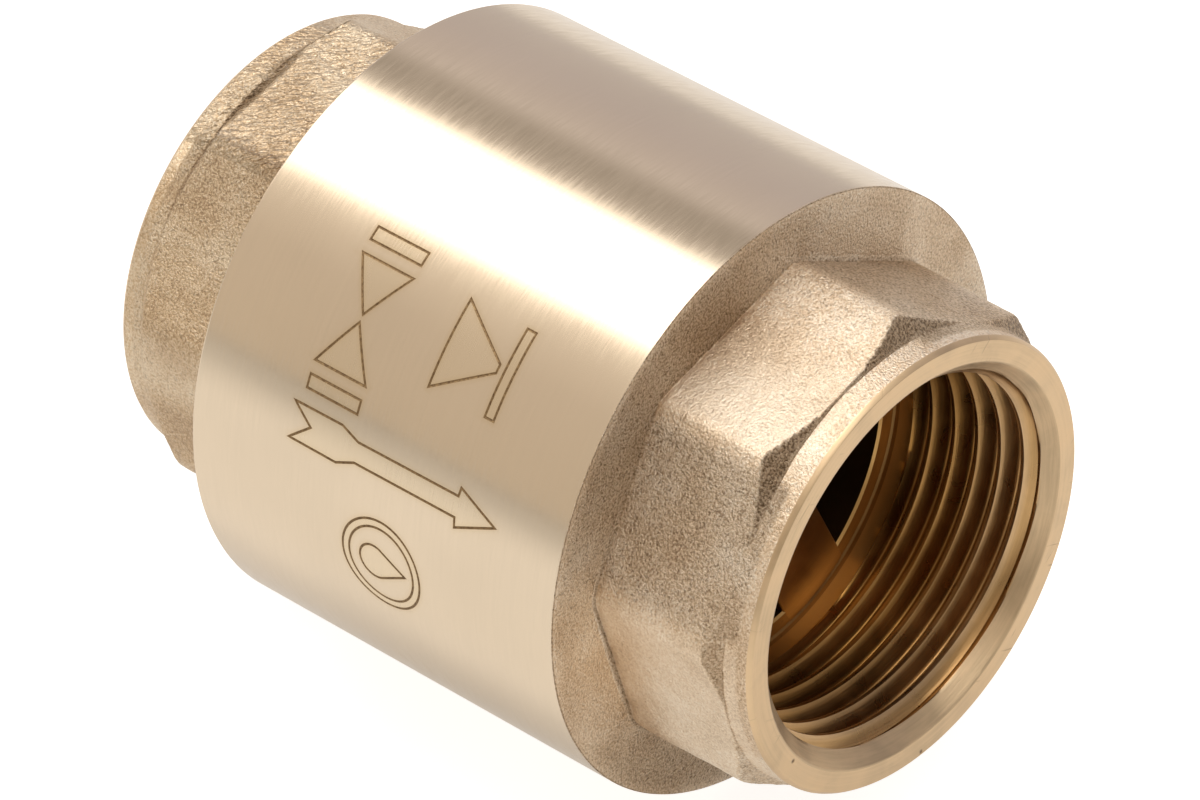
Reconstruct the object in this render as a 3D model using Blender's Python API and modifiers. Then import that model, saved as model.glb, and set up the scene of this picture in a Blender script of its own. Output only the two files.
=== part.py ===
"""In-line spring check valve, 3/4 inch (DN 20), brass.

The flow axis is world X: the inlet is at -X, the outlet at +X, and +Z is up.
The origin is the middle of the valve on the flow axis.  Dimensions are in mm
and are scaled to metres as the meshes are made.

Every piece is drawn in a local frame whose Z axis is the flow axis.  The empty
"flow_axis" turns that local Z onto world X, and the fixed pieces are its
children.  The moving pieces are children of the empties "poppet_slide" and
"poppet_turn", which sit on the joint axes.

_R is a radius; _IN and _OUT are the axial positions of a piece's inlet and
outlet faces; _TO and _FROM are axial positions as well.
"""
import math

import bmesh
import bpy
from mathutils import Matrix

MM = 0.001

# ---------------------------------------------------------- dimensions (mm)
GAP = 0.1                # between neighbouring pieces
OVERRUN = 0.5            # how far a cutter runs past the surface it opens
SHORT_OVERRUN = 0.4
MERGE_DISTANCE = 0.000005  # metres, joins the seam of a turned mesh

# outer shape
BODY_R = 20.0            # turned cylinder
BODY_HALF = 14.85        # half of the cylinder's length
HUB_LEN = 11.1           # each hub stands this far out of the cylinder
END = BODY_HALF + HUB_LEN
EDGE_CHAMFER = 0.35      # edges of the cylinder

# octagonal wrench hubs
OCT_R = 16.43            # across corners / 2 (across flats 30.4)
OCT_LEN = 8.2            # prism part, measured from the cylinder's end
OCT_SINK = 0.8           # the prism starts this far inside the cylinder
OCT_EXTRA = 0.9          # prism beyond OCT_LEN, where the cone trims it
OUTLET_PHASE = 40.6      # corner angle of the outlet hub, from +Y towards +Z
INLET_PHASE = 35.5       # the inlet hub is screwed in, so it stops elsewhere
RING_R = 14.95           # round ring beyond the octagon
RING_FACE_R = 14.75      # its machined face
RING_BEVEL = 0.3
TRIM_TIP_R = RING_R - 0.35   # cone that turns off the octagon's free corners
TRIM_R = OCT_R + 0.3
TRIM_SETBACK = 0.25      # the cone's wide end lies this far short of OCT_LEN
TRIM_ROOT_EXTRA = 1.0

# pipe threads, G 3/4 parallel
THREAD_MAJOR_R = 13.22
THREAD_MINOR_R = 12.06
THREAD_BLANK_R = THREAD_MINOR_R - 0.4
THREAD_PITCH = 1.814
THREAD_CREST = 0.302     # flat left at the major and at the minor diameter
THREAD_TURNS = 6
TAP_OVERLAP = 0.55       # the tap reaches this far into the relief
MOUTH_R = 13.35          # mouth chamfer
MOUTH_DEPTH = 1.35
RUNOUT_R = 12.70         # relief behind the thread
RUNOUT_FROM = 15.60      # thread side of the relief, as distance from the origin
RUNOUT_CONE = 0.35       # axial length of the cone from the relief to the blank

# outlet spider, cast in one piece with the outlet body
PLATE_OUT = 13.45
PLATE_IN = 10.45
WINDOW_R = 11.40
BOSS_R = 4.70
BOSS_IN = 8.20           # the boss stands out towards the inlet
LEG_COUNT = 3
LEG_WIDTH = 5.5
LEG_PHASE = -63.3        # from +Y towards +Z
LEG_FROM_R, LEG_TO_R = 1.5, 15.5   # radial reach of a leg block
LEG_EXTRA = 3.0          # a leg block is thicker than the plate by this
GUIDE_HOLE_R = 3.10
GUIDE_HOLE_OVERRUN = 0.8

# chamber and screwed body joint, M33 x 1.5
CHAMBER_R = 15.5
CHAMBER_TO = 7.8         # straight part ends here, then a cone to the plate
CHAMBER_CONE_R = 12.9
COUNTERBORE_R = 17.65
COUNTERBORE_TO = -11.60
COUNTERBORE_CONE = 0.9   # axial length of the cone at its inner end
COUNTERBORE_CHAMFER = 0.35
JOINT_FEMALE_R = 16.65
JOINT_FEMALE_TO = -3.4
JOINT_FEMALE_CONE = 0.6
JOINT_MALE_R = 16.35
JOINT_MALE_CHAMFER = 0.6
COLLAR_R = 17.35
COLLAR_TO = -13.40
GROOVE_R = 15.65
GROOVE_TO = -11.55
SKIRT_TO = -3.75
SKIRT_BORE_R = 14.6
SKIRT_BEVEL = 0.8        # inside corner between skirt bore and seat face

# seat
SEAT_BORE_R = 10.0
SEAT_FACE = -7.00
SEAT_LIP = -6.60
SEAT_LIP_R = 10.8
SEAT_LIP_SLOPE = 0.3     # the lip is this much wider at its foot
SEAT_CONE_FROM = -12.2   # cone from the seat bore out to the thread relief
SEAT_CONE_TO = -13.9

# joint O-ring
O_RING_WIRE_R = 0.75
O_RING_CENTRE_R = 16.60
O_RING_AT = -12.48
O_RING_SIDES = 10

# poppet, from the seat towards the outlet and then back towards the nut
SEAL_IN, SEAL_OUT = SEAT_LIP + GAP, -4.55
SEAL_R = 11.30
SEAL_HOLE_R = 2.35
SEAL_CHAMFER = 0.2
DISC_IN, DISC_OUT = SEAL_OUT + GAP, -1.65
DISC_R = 11.80
DISC_HOLE_R = 1.95
DISC_TOP_R = 7.6         # flat of the outlet side, then a cone to the rim
DISC_RIM_WIDTH = 0.5     # small bevel between the cone and the rim
DISC_CONE_DEPTH = 1.1
DISC_RIM_DEPTH = 1.5
RETAINER_IN, RETAINER_OUT = -7.75, SEAL_IN - GAP
RETAINER_R = 8.4
RETAINER_BEVEL_DEPTH = 0.5
RETAINER_BEVEL_WIDTH = 0.9
NUT_IN, NUT_OUT = -10.20, RETAINER_IN - GAP
NUT_FLATS = 7.0          # across flats
NUT_CLEARANCE = 0.12
STEM_R = 2.0
STEM_THREAD_R = 1.75
STEM_END = -10.9
STEM_END_CHAMFER = 0.5
STEM_SHOULDER_R = 3.0
STEM_SHOULDER_FROM = DISC_OUT + GAP
STEM_SHOULDER_TO = 2.0
STEM_SHOULDER_CHAMFER = 0.25
STEM_TIP = 14.2
STEM_TIP_CHAMFER = 0.7

# spring, washer and guide bush
WASHER_IN, WASHER_OUT = DISC_OUT + GAP, -0.95
WASHER_HOLE_R = 3.15
WASHER_R = 7.3
SPRING_FROM, SPRING_TO = WASHER_OUT + GAP, PLATE_IN - GAP
SPRING_R = 6.0           # to the middle of the wire
SPRING_WIRE_R = 0.4
SPRING_TURNS = 5.5
CLOSED_TURNS = 0.85      # at each end of the spring
CLOSED_PITCH = 1.12      # pitch of the closed turns, in wire diameters
BUSH_FLANGE_IN, BUSH_FLANGE_OUT = 7.6, BOSS_IN - GAP
BUSH_FLANGE_R = 4.4
BUSH_R = GUIDE_HOLE_R - GAP
BUSH_BORE_R = 2.08
BUSH_BORE_CHAMFER = 0.3
BUSH_TO = 13.35

# facets
STEPS = 48               # larger turned pieces
FINE = 24                # small turned pieces
RETAINER_STEPS = 32
TAP_STEPS = 32           # pipe threads, per turn
SPRING_STEPS = 20        # spring, per turn
SMOOTH_ANGLE = 25.0      # edges sharper than this stay sharp (degrees)

# name: (base colour, roughness, metallic)
MATERIALS = {
    "cast_brass": ((0.60, 0.43, 0.25), 0.38, 1.0),
    "end_brass": ((0.58, 0.41, 0.24), 0.40, 1.0),
    "turned_brass": ((0.72, 0.53, 0.28), 0.25, 1.0),
    "disc_brass": ((0.70, 0.50, 0.26), 0.28, 1.0),
    "plate_brass": ((0.70, 0.52, 0.28), 0.30, 1.0),
    "nitrile": ((0.02, 0.02, 0.022), 0.55, 0.0),
    "o_ring_rubber": ((0.025, 0.025, 0.027), 0.5, 0.0),
    "spring_steel": ((0.62, 0.62, 0.63), 0.22, 1.0),
    "washer_steel": ((0.60, 0.60, 0.60), 0.30, 1.0),
    "nut_steel": ((0.58, 0.58, 0.59), 0.30, 1.0),
    "acetal": ((0.80, 0.79, 0.75), 0.35, 0.0),
}


# ------------------------------------------------------------------- scene
for leftover in list(bpy.data.objects):
    bpy.data.objects.remove(leftover, do_unlink=True)

parts = bpy.data.collections.new("check_valve")
tools = bpy.data.collections.new("check_valve_cutters")
bpy.context.scene.collection.children.link(parts)
bpy.context.scene.collection.children.link(tools)


def empty(name, parent=None, rotation=(0, 0, 0)):
    obj = bpy.data.objects.new(name, None)
    obj.empty_display_size = 0.01
    obj.rotation_euler = rotation
    obj.parent = parent
    parts.objects.link(obj)
    return obj


flow_axis = empty("flow_axis", rotation=(0, math.radians(90), 0))
poppet_slide = empty("poppet_slide", flow_axis)
poppet_turn = empty("poppet_turn", poppet_slide)


def principled(name, colour, roughness, metallic):
    material = bpy.data.materials.new(name)
    material.use_nodes = True
    shader = material.node_tree.nodes["Principled BSDF"]
    shader.inputs["Base Color"].default_value = (*colour, 1.0)
    shader.inputs["Roughness"].default_value = roughness
    shader.inputs["Metallic"].default_value = metallic
    material.diffuse_color = (*colour, 1.0)
    return material


materials = {name: principled(name, *values) for name, values in MATERIALS.items()}


# ----------------------------------------------------------------- helpers
def add_part(obj, material_name, parent=flow_axis):
    obj.parent = parent
    parts.objects.link(obj)
    obj.data.materials.append(materials[material_name])
    return obj


def add_cutter(obj, parent=flow_axis):
    obj.parent = parent
    tools.objects.link(obj)
    obj.hide_render = True
    obj.display_type = 'WIRE'
    return obj


def boolean(obj, operation, other):
    modifier = obj.modifiers.new(other.name, 'BOOLEAN')
    modifier.operation = operation
    modifier.solver = 'EXACT'
    modifier.object = other


def profile_object(name, points, closed):
    """A chain of edges through (radius, axial) points in the local XZ plane."""
    mesh = bpy.data.meshes.new(name)
    count = len(points)
    edge_count = count if closed else count - 1
    mesh.from_pydata([(radius * MM, 0.0, z * MM) for radius, z in points],
                     [(i, (i + 1) % count) for i in range(edge_count)], [])
    return bpy.data.objects.new(name, mesh)


def turned(name, loop, steps=STEPS):
    """A solid turned about local Z from (radius, axial) points.

    The loop starts at the top and runs down its outer side.  It is closed,
    except that a loop with both ends on the axis needs no edge along it.
    """
    on_axis = loop[0][0] == 0.0 and loop[-1][0] == 0.0
    obj = profile_object(name, loop, closed=not on_axis)
    screw = obj.modifiers.new("turn", 'SCREW')
    screw.axis = 'Z'
    screw.steps = steps
    screw.render_steps = steps
    screw.use_merge_vertices = True
    screw.merge_threshold = MERGE_DISTANCE
    screw.use_smooth_shade = True
    return obj


def mirrored(loop):
    """The loop for the other end of the valve, still running downwards."""
    return [(radius, -z) for radius, z in reversed(loop)]


def from_bmesh(name, solid):
    mesh = bpy.data.meshes.new(name)
    bmesh.ops.recalc_face_normals(solid, faces=solid.faces)
    solid.to_mesh(mesh)
    solid.free()
    return bpy.data.objects.new(name, mesh)


def rotate_about_z(solid, angle):
    bmesh.ops.rotate(solid, verts=solid.verts, cent=(0, 0, 0),
                     matrix=Matrix.Rotation(angle, 3, 'Z'))


def prism(name, sides, radius, z_low, z_high, corner_angle=0.0):
    """A prism about local Z with a corner at the given local angle (deg)."""
    solid = bmesh.new()
    bmesh.ops.create_cone(solid, cap_ends=True, segments=sides,
                          radius1=radius * MM, radius2=radius * MM,
                          depth=(z_high - z_low) * MM)
    first = max(solid.verts, key=lambda vert: vert.co.x).co
    rotate_about_z(solid, math.radians(corner_angle) - math.atan2(first.y, first.x))
    bmesh.ops.translate(solid, verts=solid.verts, vec=(0, 0, (z_low + z_high) / 2 * MM))
    return from_bmesh(name, solid)


def local_angle(phase):
    """Local angle from X, for a phase measured from world +Y towards +Z."""
    return phase + 90.0


# ------------------------------------------------- shapes shared by both ends
def swept_thread(name, outline):
    """The mesh of an outline swept along the pipe thread's helix."""
    obj = profile_object(name, outline, closed=False)
    screw = obj.modifiers.new("thread", 'SCREW')
    screw.axis = 'Z'
    screw.angle = math.radians(360)
    screw.screw_offset = THREAD_PITCH * MM
    screw.iterations = THREAD_TURNS
    screw.steps = TAP_STEPS
    screw.render_steps = TAP_STEPS
    screw.use_merge_vertices = False
    bpy.context.scene.collection.objects.link(obj)
    bpy.context.view_layer.update()
    depsgraph = bpy.context.evaluated_depsgraph_get()
    swept = bpy.data.meshes.new_from_object(obj.evaluated_get(depsgraph))
    bpy.data.objects.remove(obj, do_unlink=True)
    return swept


def helical_tap(name, start):
    """A closed male screw of the pipe thread: crests at the major radius."""
    crest, flank = THREAD_CREST, (THREAD_PITCH - 2 * THREAD_CREST) / 2
    outline = [(THREAD_MINOR_R, 0.0), (THREAD_MINOR_R, crest),
               (THREAD_MAJOR_R, crest + flank),
               (THREAD_MAJOR_R, 2 * crest + flank),
               (THREAD_MINOR_R, THREAD_PITCH)]
    swept = swept_thread(name, [(radius, start + z) for radius, z in outline])
    solid = bmesh.new()
    solid.from_mesh(swept)
    bpy.data.meshes.remove(swept)
    bmesh.ops.remove_doubles(solid, verts=solid.verts, dist=MERGE_DISTANCE)
    # each end is one turn of the root helix plus the outline: fan it shut
    reach = THREAD_PITCH * 1.01          # one pitch and a little tolerance
    for level in (start, start + THREAD_PITCH * THREAD_TURNS):
        rim = [edge for edge in solid.edges if edge.is_boundary
               and all(abs(vert.co.z / MM - level) <= reach for vert in edge.verts)]
        centre = solid.verts.new((0, 0, (level + THREAD_PITCH / 2) * MM))
        for edge in rim:
            solid.faces.new((edge.verts[0], edge.verts[1], centre))
    return add_cutter(from_bmesh(name, solid))


def hub_octagon(name, phase, side):
    """Octagonal prism whose free corners are turned off by a cone.

    side is +1 for the outlet hub and -1 for the inlet hub.
    """
    root = BODY_HALF - OCT_SINK
    tip = BODY_HALF + OCT_LEN + OCT_EXTRA
    z_low, z_high = sorted((side * root, side * tip))
    octagon = add_cutter(prism(name, 8, OCT_R, z_low, z_high, local_angle(phase)))
    loop = [
        (0.0, tip + SHORT_OVERRUN), (TRIM_TIP_R, tip + SHORT_OVERRUN),
        (TRIM_R, BODY_HALF + OCT_LEN - TRIM_SETBACK),
        (TRIM_R, root - TRIM_ROOT_EXTRA), (0.0, root - TRIM_ROOT_EXTRA)]
    if side < 0:
        loop = mirrored(loop)
    boolean(octagon, 'INTERSECT', add_cutter(turned(name + "_envelope", loop)))
    return octagon


def hub_ring():
    """Outline of the round ring at the outlet end, down to the cylinder."""
    return [(0.0, END), (RING_FACE_R, END), (RING_R, END - RING_BEVEL), (RING_R, BODY_HALF)]


def port_bore():
    """Mouth chamfer and thread blank of the outlet port, down to the relief."""
    slope = (MOUTH_R - THREAD_MINOR_R) / MOUTH_DEPTH
    return [
        (0.0, END + OVERRUN), (MOUTH_R + slope * OVERRUN, END + OVERRUN),
        (THREAD_BLANK_R, END - (MOUTH_R - THREAD_BLANK_R) / slope),
        (THREAD_BLANK_R, RUNOUT_FROM + RUNOUT_CONE), (RUNOUT_R, RUNOUT_FROM)]


# ------------------------------------------------- outlet body (with spider)
def chamber_cutter():
    """Chamber, joint and counterbore, cut from the inlet end.

    The pin at the top is the guide hole through the spider's boss.
    """
    pin_top = PLATE_OUT + GUIDE_HOLE_OVERRUN
    mouth = -BODY_HALF - SHORT_OVERRUN
    return add_cutter(turned("chamber_cutter", [
        (0.0, pin_top), (GUIDE_HOLE_R, pin_top), (GUIDE_HOLE_R, BOSS_IN),
        (BOSS_R, BOSS_IN), (BOSS_R, PLATE_IN), (CHAMBER_CONE_R, PLATE_IN),
        (CHAMBER_R, CHAMBER_TO), (CHAMBER_R, JOINT_FEMALE_TO + JOINT_FEMALE_CONE),
        (JOINT_FEMALE_R, JOINT_FEMALE_TO),
        (JOINT_FEMALE_R, COUNTERBORE_TO + COUNTERBORE_CONE),
        (COUNTERBORE_R, COUNTERBORE_TO),
        (COUNTERBORE_R, -BODY_HALF + COUNTERBORE_CHAMFER),
        (COUNTERBORE_R + COUNTERBORE_CHAMFER + SHORT_OVERRUN, mouth), (0.0, mouth)]))


def leg_block(index):
    solid = bmesh.new()
    bmesh.ops.create_cube(solid, size=1.0)
    bmesh.ops.scale(solid, verts=solid.verts,
                    vec=((LEG_TO_R - LEG_FROM_R) * MM, LEG_WIDTH * MM,
                         (PLATE_OUT - PLATE_IN + LEG_EXTRA) * MM))
    bmesh.ops.translate(solid, verts=solid.verts,
                        vec=((LEG_FROM_R + LEG_TO_R) / 2 * MM, 0,
                             (PLATE_OUT + PLATE_IN) / 2 * MM))
    rotate_about_z(solid, math.radians(local_angle(LEG_PHASE) + index * 360.0 / LEG_COUNT))
    return add_cutter(from_bmesh("leg_%d" % (index + 1), solid))


def window_cutter():
    """A ring through the plate, less the legs."""
    top, bottom = PLATE_OUT + SHORT_OVERRUN, PLATE_IN - SHORT_OVERRUN
    ring = add_cutter(turned("window_cutter", [
        (WINDOW_R, top), (WINDOW_R, bottom), (BOSS_R, bottom), (BOSS_R, top)]))
    for index in range(LEG_COUNT):
        boolean(ring, 'DIFFERENCE', leg_block(index))
    return ring


def build_outlet_body():
    body = add_part(turned("outlet_body", hub_ring() + [
        (BODY_R - EDGE_CHAMFER, BODY_HALF), (BODY_R, BODY_HALF - EDGE_CHAMFER),
        (BODY_R, -BODY_HALF + EDGE_CHAMFER), (BODY_R - EDGE_CHAMFER, -BODY_HALF),
        (0.0, -BODY_HALF)]), "cast_brass")
    port = add_cutter(turned("outlet_port_cutter", port_bore() + [
        (RUNOUT_R, PLATE_OUT), (0.0, PLATE_OUT)]))
    boolean(body, 'UNION', hub_octagon("outlet_octagon", OUTLET_PHASE, +1))
    boolean(body, 'DIFFERENCE', chamber_cutter())
    boolean(body, 'DIFFERENCE', port)
    boolean(body, 'DIFFERENCE', helical_tap("outlet_tap", RUNOUT_FROM - TAP_OVERLAP))
    boolean(body, 'DIFFERENCE', window_cutter())


# ------------------------------------------------------------ inlet end piece
def seat_cutter():
    """Skirt bore, seat with its raised lip, relief and inlet port."""
    return add_cutter(turned("seat_cutter", [
        (0.0, SKIRT_TO + OVERRUN), (SKIRT_BORE_R, SKIRT_TO + OVERRUN),
        (SKIRT_BORE_R, SEAT_FACE + SKIRT_BEVEL), (SKIRT_BORE_R - SKIRT_BEVEL, SEAT_FACE),
        (SEAT_LIP_R + SEAT_LIP_SLOPE, SEAT_FACE), (SEAT_LIP_R, SEAT_LIP),
        (SEAT_BORE_R, SEAT_LIP), (SEAT_BORE_R, SEAT_CONE_FROM),
        (RUNOUT_R, SEAT_CONE_TO)] + mirrored(port_bore())))


def build_inlet_end_piece():
    piece = add_part(turned("inlet_end_piece", [
        (0.0, SKIRT_TO), (JOINT_MALE_R - JOINT_MALE_CHAMFER, SKIRT_TO),
        (JOINT_MALE_R, SKIRT_TO - JOINT_MALE_CHAMFER), (JOINT_MALE_R, GROOVE_TO),
        (GROOVE_R, GROOVE_TO), (GROOVE_R, COLLAR_TO), (COLLAR_R, COLLAR_TO),
        (COLLAR_R, -BODY_HALF)] + mirrored(hub_ring())), "end_brass")
    tap_start = -RUNOUT_FROM + TAP_OVERLAP - THREAD_PITCH * (THREAD_TURNS + 1)
    boolean(piece, 'UNION', hub_octagon("inlet_octagon", INLET_PHASE, -1))
    boolean(piece, 'DIFFERENCE', seat_cutter())
    boolean(piece, 'DIFFERENCE', helical_tap("inlet_tap", tap_start))


# ------------------------------------------------------- other fixed pieces
def build_body_joint_o_ring():
    angles = [math.radians(90 - 360 / O_RING_SIDES * k) for k in range(O_RING_SIDES)]
    loop = [(O_RING_CENTRE_R + O_RING_WIRE_R * math.cos(angle),
             O_RING_AT + O_RING_WIRE_R * math.sin(angle)) for angle in angles]
    add_part(turned("body_joint_o_ring", loop), "o_ring_rubber")


def build_guide_bush():
    add_part(turned("guide_bush", [
        (BUSH_BORE_R, BUSH_TO), (BUSH_R, BUSH_TO), (BUSH_R, BUSH_FLANGE_OUT),
        (BUSH_FLANGE_R, BUSH_FLANGE_OUT), (BUSH_FLANGE_R, BUSH_FLANGE_IN),
        (BUSH_BORE_R + BUSH_BORE_CHAMFER, BUSH_FLANGE_IN),
        (BUSH_BORE_R, BUSH_FLANGE_IN + BUSH_BORE_CHAMFER)], FINE), "acetal")


def spring_height(turn):
    """Axial position of the wire's centre after the given number of turns."""
    low, high = SPRING_FROM + SPRING_WIRE_R, SPRING_TO - SPRING_WIRE_R
    closed_rise = 2 * SPRING_WIRE_R * CLOSED_PITCH * CLOSED_TURNS
    if turn < CLOSED_TURNS:
        return low + closed_rise * turn / CLOSED_TURNS
    if turn > SPRING_TURNS - CLOSED_TURNS:
        return high - closed_rise * (SPRING_TURNS - turn) / CLOSED_TURNS
    open_turns = SPRING_TURNS - 2 * CLOSED_TURNS
    open_rise = high - low - 2 * closed_rise
    return low + closed_rise + open_rise * (turn - CLOSED_TURNS) / open_turns


def build_closing_spring():
    curve = bpy.data.curves.new("closing_spring_wire", 'CURVE')
    curve.dimensions = '3D'
    curve.bevel_depth = SPRING_WIRE_R * MM
    curve.bevel_resolution = 2
    curve.use_fill_caps = True
    spline = curve.splines.new('POLY')
    spline.points.add(int(SPRING_TURNS * SPRING_STEPS))
    for i, point in enumerate(spline.points):
        turn = i / SPRING_STEPS
        angle = 2 * math.pi * turn
        point.co = (SPRING_R * MM * math.cos(angle), SPRING_R * MM * math.sin(angle),
                    spring_height(turn) * MM, 1.0)
    add_part(bpy.data.objects.new("closing_spring", curve), "spring_steel")


# ------------------------------------------------------------ moving pieces
def build_spring_washer():
    add_part(turned("spring_washer", [
        (WASHER_HOLE_R, WASHER_OUT), (WASHER_R, WASHER_OUT),
        (WASHER_R, WASHER_IN), (WASHER_HOLE_R, WASHER_IN)], FINE),
        "washer_steel", poppet_slide)


def build_poppet_stem():
    add_part(turned("poppet_stem", [
        (0.0, STEM_TIP), (STEM_R - STEM_TIP_CHAMFER, STEM_TIP),
        (STEM_R, STEM_TIP - STEM_TIP_CHAMFER), (STEM_R, STEM_SHOULDER_TO),
        (STEM_SHOULDER_R - STEM_SHOULDER_CHAMFER, STEM_SHOULDER_TO),
        (STEM_SHOULDER_R, STEM_SHOULDER_TO - STEM_SHOULDER_CHAMFER),
        (STEM_SHOULDER_R, STEM_SHOULDER_FROM), (STEM_THREAD_R, STEM_SHOULDER_FROM),
        (STEM_THREAD_R, STEM_END + STEM_END_CHAMFER),
        (STEM_THREAD_R - STEM_END_CHAMFER, STEM_END), (0.0, STEM_END)], FINE),
        "turned_brass", poppet_turn)


def build_poppet_disc():
    add_part(turned("poppet_disc", [
        (DISC_HOLE_R, DISC_OUT), (DISC_TOP_R, DISC_OUT),
        (DISC_R - DISC_RIM_WIDTH, DISC_OUT - DISC_CONE_DEPTH),
        (DISC_R, DISC_OUT - DISC_RIM_DEPTH), (DISC_R, DISC_IN), (DISC_HOLE_R, DISC_IN)]),
        "disc_brass", poppet_turn)


def build_seat_seal():
    add_part(turned("seat_seal", [
        (SEAL_HOLE_R, SEAL_OUT), (SEAL_R, SEAL_OUT), (SEAL_R, SEAL_IN + SEAL_CHAMFER),
        (SEAL_R - SEAL_CHAMFER, SEAL_IN), (SEAL_HOLE_R, SEAL_IN)]), "nitrile", poppet_turn)


def build_seal_retainer_plate():
    add_part(turned("seal_retainer_plate", [
        (DISC_HOLE_R, RETAINER_OUT), (RETAINER_R, RETAINER_OUT),
        (RETAINER_R, RETAINER_IN + RETAINER_BEVEL_DEPTH),
        (RETAINER_R - RETAINER_BEVEL_WIDTH, RETAINER_IN),
        (DISC_HOLE_R, RETAINER_IN)], RETAINER_STEPS), "plate_brass", poppet_turn)


def build_stem_nut():
    corner_r = NUT_FLATS / 2 / math.cos(math.radians(30))
    nut = add_part(prism("stem_nut", 6, corner_r, NUT_IN, NUT_OUT), "nut_steel", poppet_turn)
    bore = add_cutter(prism("nut_bore", FINE, STEM_THREAD_R + NUT_CLEARANCE,
                            NUT_IN - OVERRUN, NUT_OUT + OVERRUN), poppet_turn)
    boolean(nut, 'DIFFERENCE', bore)


# ------------------------------------------------------------------ shading
def apply_and_shade():
    """Smooth the round faces up to the real edges.

    The modifiers of the parts are applied for this; the cutters keep theirs.
    """
    bpy.context.view_layer.update()
    depsgraph = bpy.context.evaluated_depsgraph_get()
    finished = [(obj, bpy.data.meshes.new_from_object(obj.evaluated_get(depsgraph)))
                for obj in parts.objects if obj.type == 'MESH']
    for obj, mesh in finished:
        obj.modifiers.clear()
        obj.data = mesh
        mesh.name = obj.name
        mesh.shade_smooth()
        mesh.set_sharp_from_angle(angle=math.radians(SMOOTH_ANGLE))


build_outlet_body()
build_inlet_end_piece()
build_body_joint_o_ring()
build_guide_bush()
build_closing_spring()
build_spring_washer()
build_poppet_stem()
build_poppet_disc()
build_seat_seal()
build_seal_retainer_plate()
build_stem_nut()
apply_and_shade()
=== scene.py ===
"""Looks of an in-line spring check valve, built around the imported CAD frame.

The flow axis is X, through the origin: the inlet half ends at -X, the outlet half at
+X, and +Z is up.  Angles round the axis turn from +Y towards +Z.  Sizes of pieces are
in mm and become metres through MM; shaders, lights and the camera work in metres.
"""
import math
from functools import cached_property
from math import atan2, cos, pi, radians, sin, tau
from types import SimpleNamespace

import bmesh
import bpy
import numpy as np
from mathutils import Matrix, Vector, geometry, noise


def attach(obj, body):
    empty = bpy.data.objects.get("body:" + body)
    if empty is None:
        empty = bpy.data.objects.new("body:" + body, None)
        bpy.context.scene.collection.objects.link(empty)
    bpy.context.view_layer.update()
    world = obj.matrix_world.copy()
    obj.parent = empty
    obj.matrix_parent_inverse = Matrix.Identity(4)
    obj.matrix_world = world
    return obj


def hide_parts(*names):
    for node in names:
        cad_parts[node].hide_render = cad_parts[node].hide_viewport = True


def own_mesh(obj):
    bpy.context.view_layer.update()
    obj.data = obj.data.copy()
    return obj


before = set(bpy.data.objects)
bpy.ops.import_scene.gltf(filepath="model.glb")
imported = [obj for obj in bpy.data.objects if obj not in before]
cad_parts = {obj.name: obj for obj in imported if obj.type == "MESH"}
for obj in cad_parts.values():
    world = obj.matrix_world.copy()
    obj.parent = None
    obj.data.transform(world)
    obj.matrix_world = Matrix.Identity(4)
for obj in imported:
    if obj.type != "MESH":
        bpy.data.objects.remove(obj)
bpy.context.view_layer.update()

MM = 0.001

# ------------------------------------------------------------- dimensions, mm
BODY_R = 20.0
HALF, END = 14.85, 25.95          # x of the turned body's edge and of the faced end
OCT_APOTHEM = 15.18               # of the wrench octagon
OUTLET_CORNER, INLET_CORNER = 40.6, 35.5    # angle of one corner, degrees
RING_R = 14.97                    # round ring at the end of each octagon
THREAD_MAJOR_R, THREAD_MINOR_R, PITCH = 13.22, 12.06, 1.814
CREST_AT = 16.80                  # x of an outlet crest at angle 0
MOUTH_R, MOUTH_DEPTH = 13.35, 1.35
RELIEF_R, RELIEF_FROM = 12.70, 15.00
PLATE_OUT, PLATE_IN = 13.45, 10.45          # outlet and inlet faces of the spider plate
WINDOW_R = 11.40
BOSS_R, BOSS_HOLE_R, BOSS_IN = 4.70, 3.1, 8.20
LEG_WIDTH, FIRST_LEG = 5.5, -63.3           # FIRST_LEG in degrees
SKIN_FROM, SKIN_TO = -HALF + 0.16, HALF - 0.07    # the turned cylinder between its edges

COLUMNS = 360                     # round the axis
SEAM = radians(-60.0)             # first column, on the lower +Y side
ANGLES = SEAM + np.arange(COLUMNS) * tau / COLUMNS
DEGREES = np.degrees(ANGLES) % 360

# Material slots of the two casing halves
CAST, TURNED, LINE, FACE, BORE, INNER, PLATE, CHAMBER = range(8)
IN_CAST, IN_FACE, IN_BORE, IN_INNER = range(4)

# Each pair: degrees round the axis, value there.  Corner rounding starts at the hub's named corner;
# the rest are strengths of the cut attribute: cut corners, and painted shade, painted light below 0.
CORNER_ROUNDING = ((0, 108, 117, 197, 206, 360), (1.2, 1.2, 2.6, 2.6, 1.2, 1.2))
# Painted shade on the annulus round each hub, darkest under the top flats and towards the bottom.
ANNULUS_PAINTED_SHADE = (
    (0, 40, 75, 95, 108, 125, 142, 160, 176, 190, 208, 224, 244, 262, 300, 360),
    (0.20, 0.06, 0.10, 0.42, 0.66, 0.66, 0.56, 0.40, 0.16, 0.0, 0.04, 0.34, 0.54, 0.56, 0.30, 0.20))
# Painted light and shade on the outlet's octagon flats, a value to each flat: above 0 darker, below 0
# lighter.
OUTLET_FLAT_PAINTED_LIGHT_AND_SHADE = (
    (0, 40, 46, 80, 86, 100, 127, 135, 170, 177, 216, 224, 360),
    (0.12, 0.22, 0.60, 0.60, 0.05, -0.03, -0.48, 0.29, 0.25, -0.30, -0.34, 0.16, 0.12))
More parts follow.
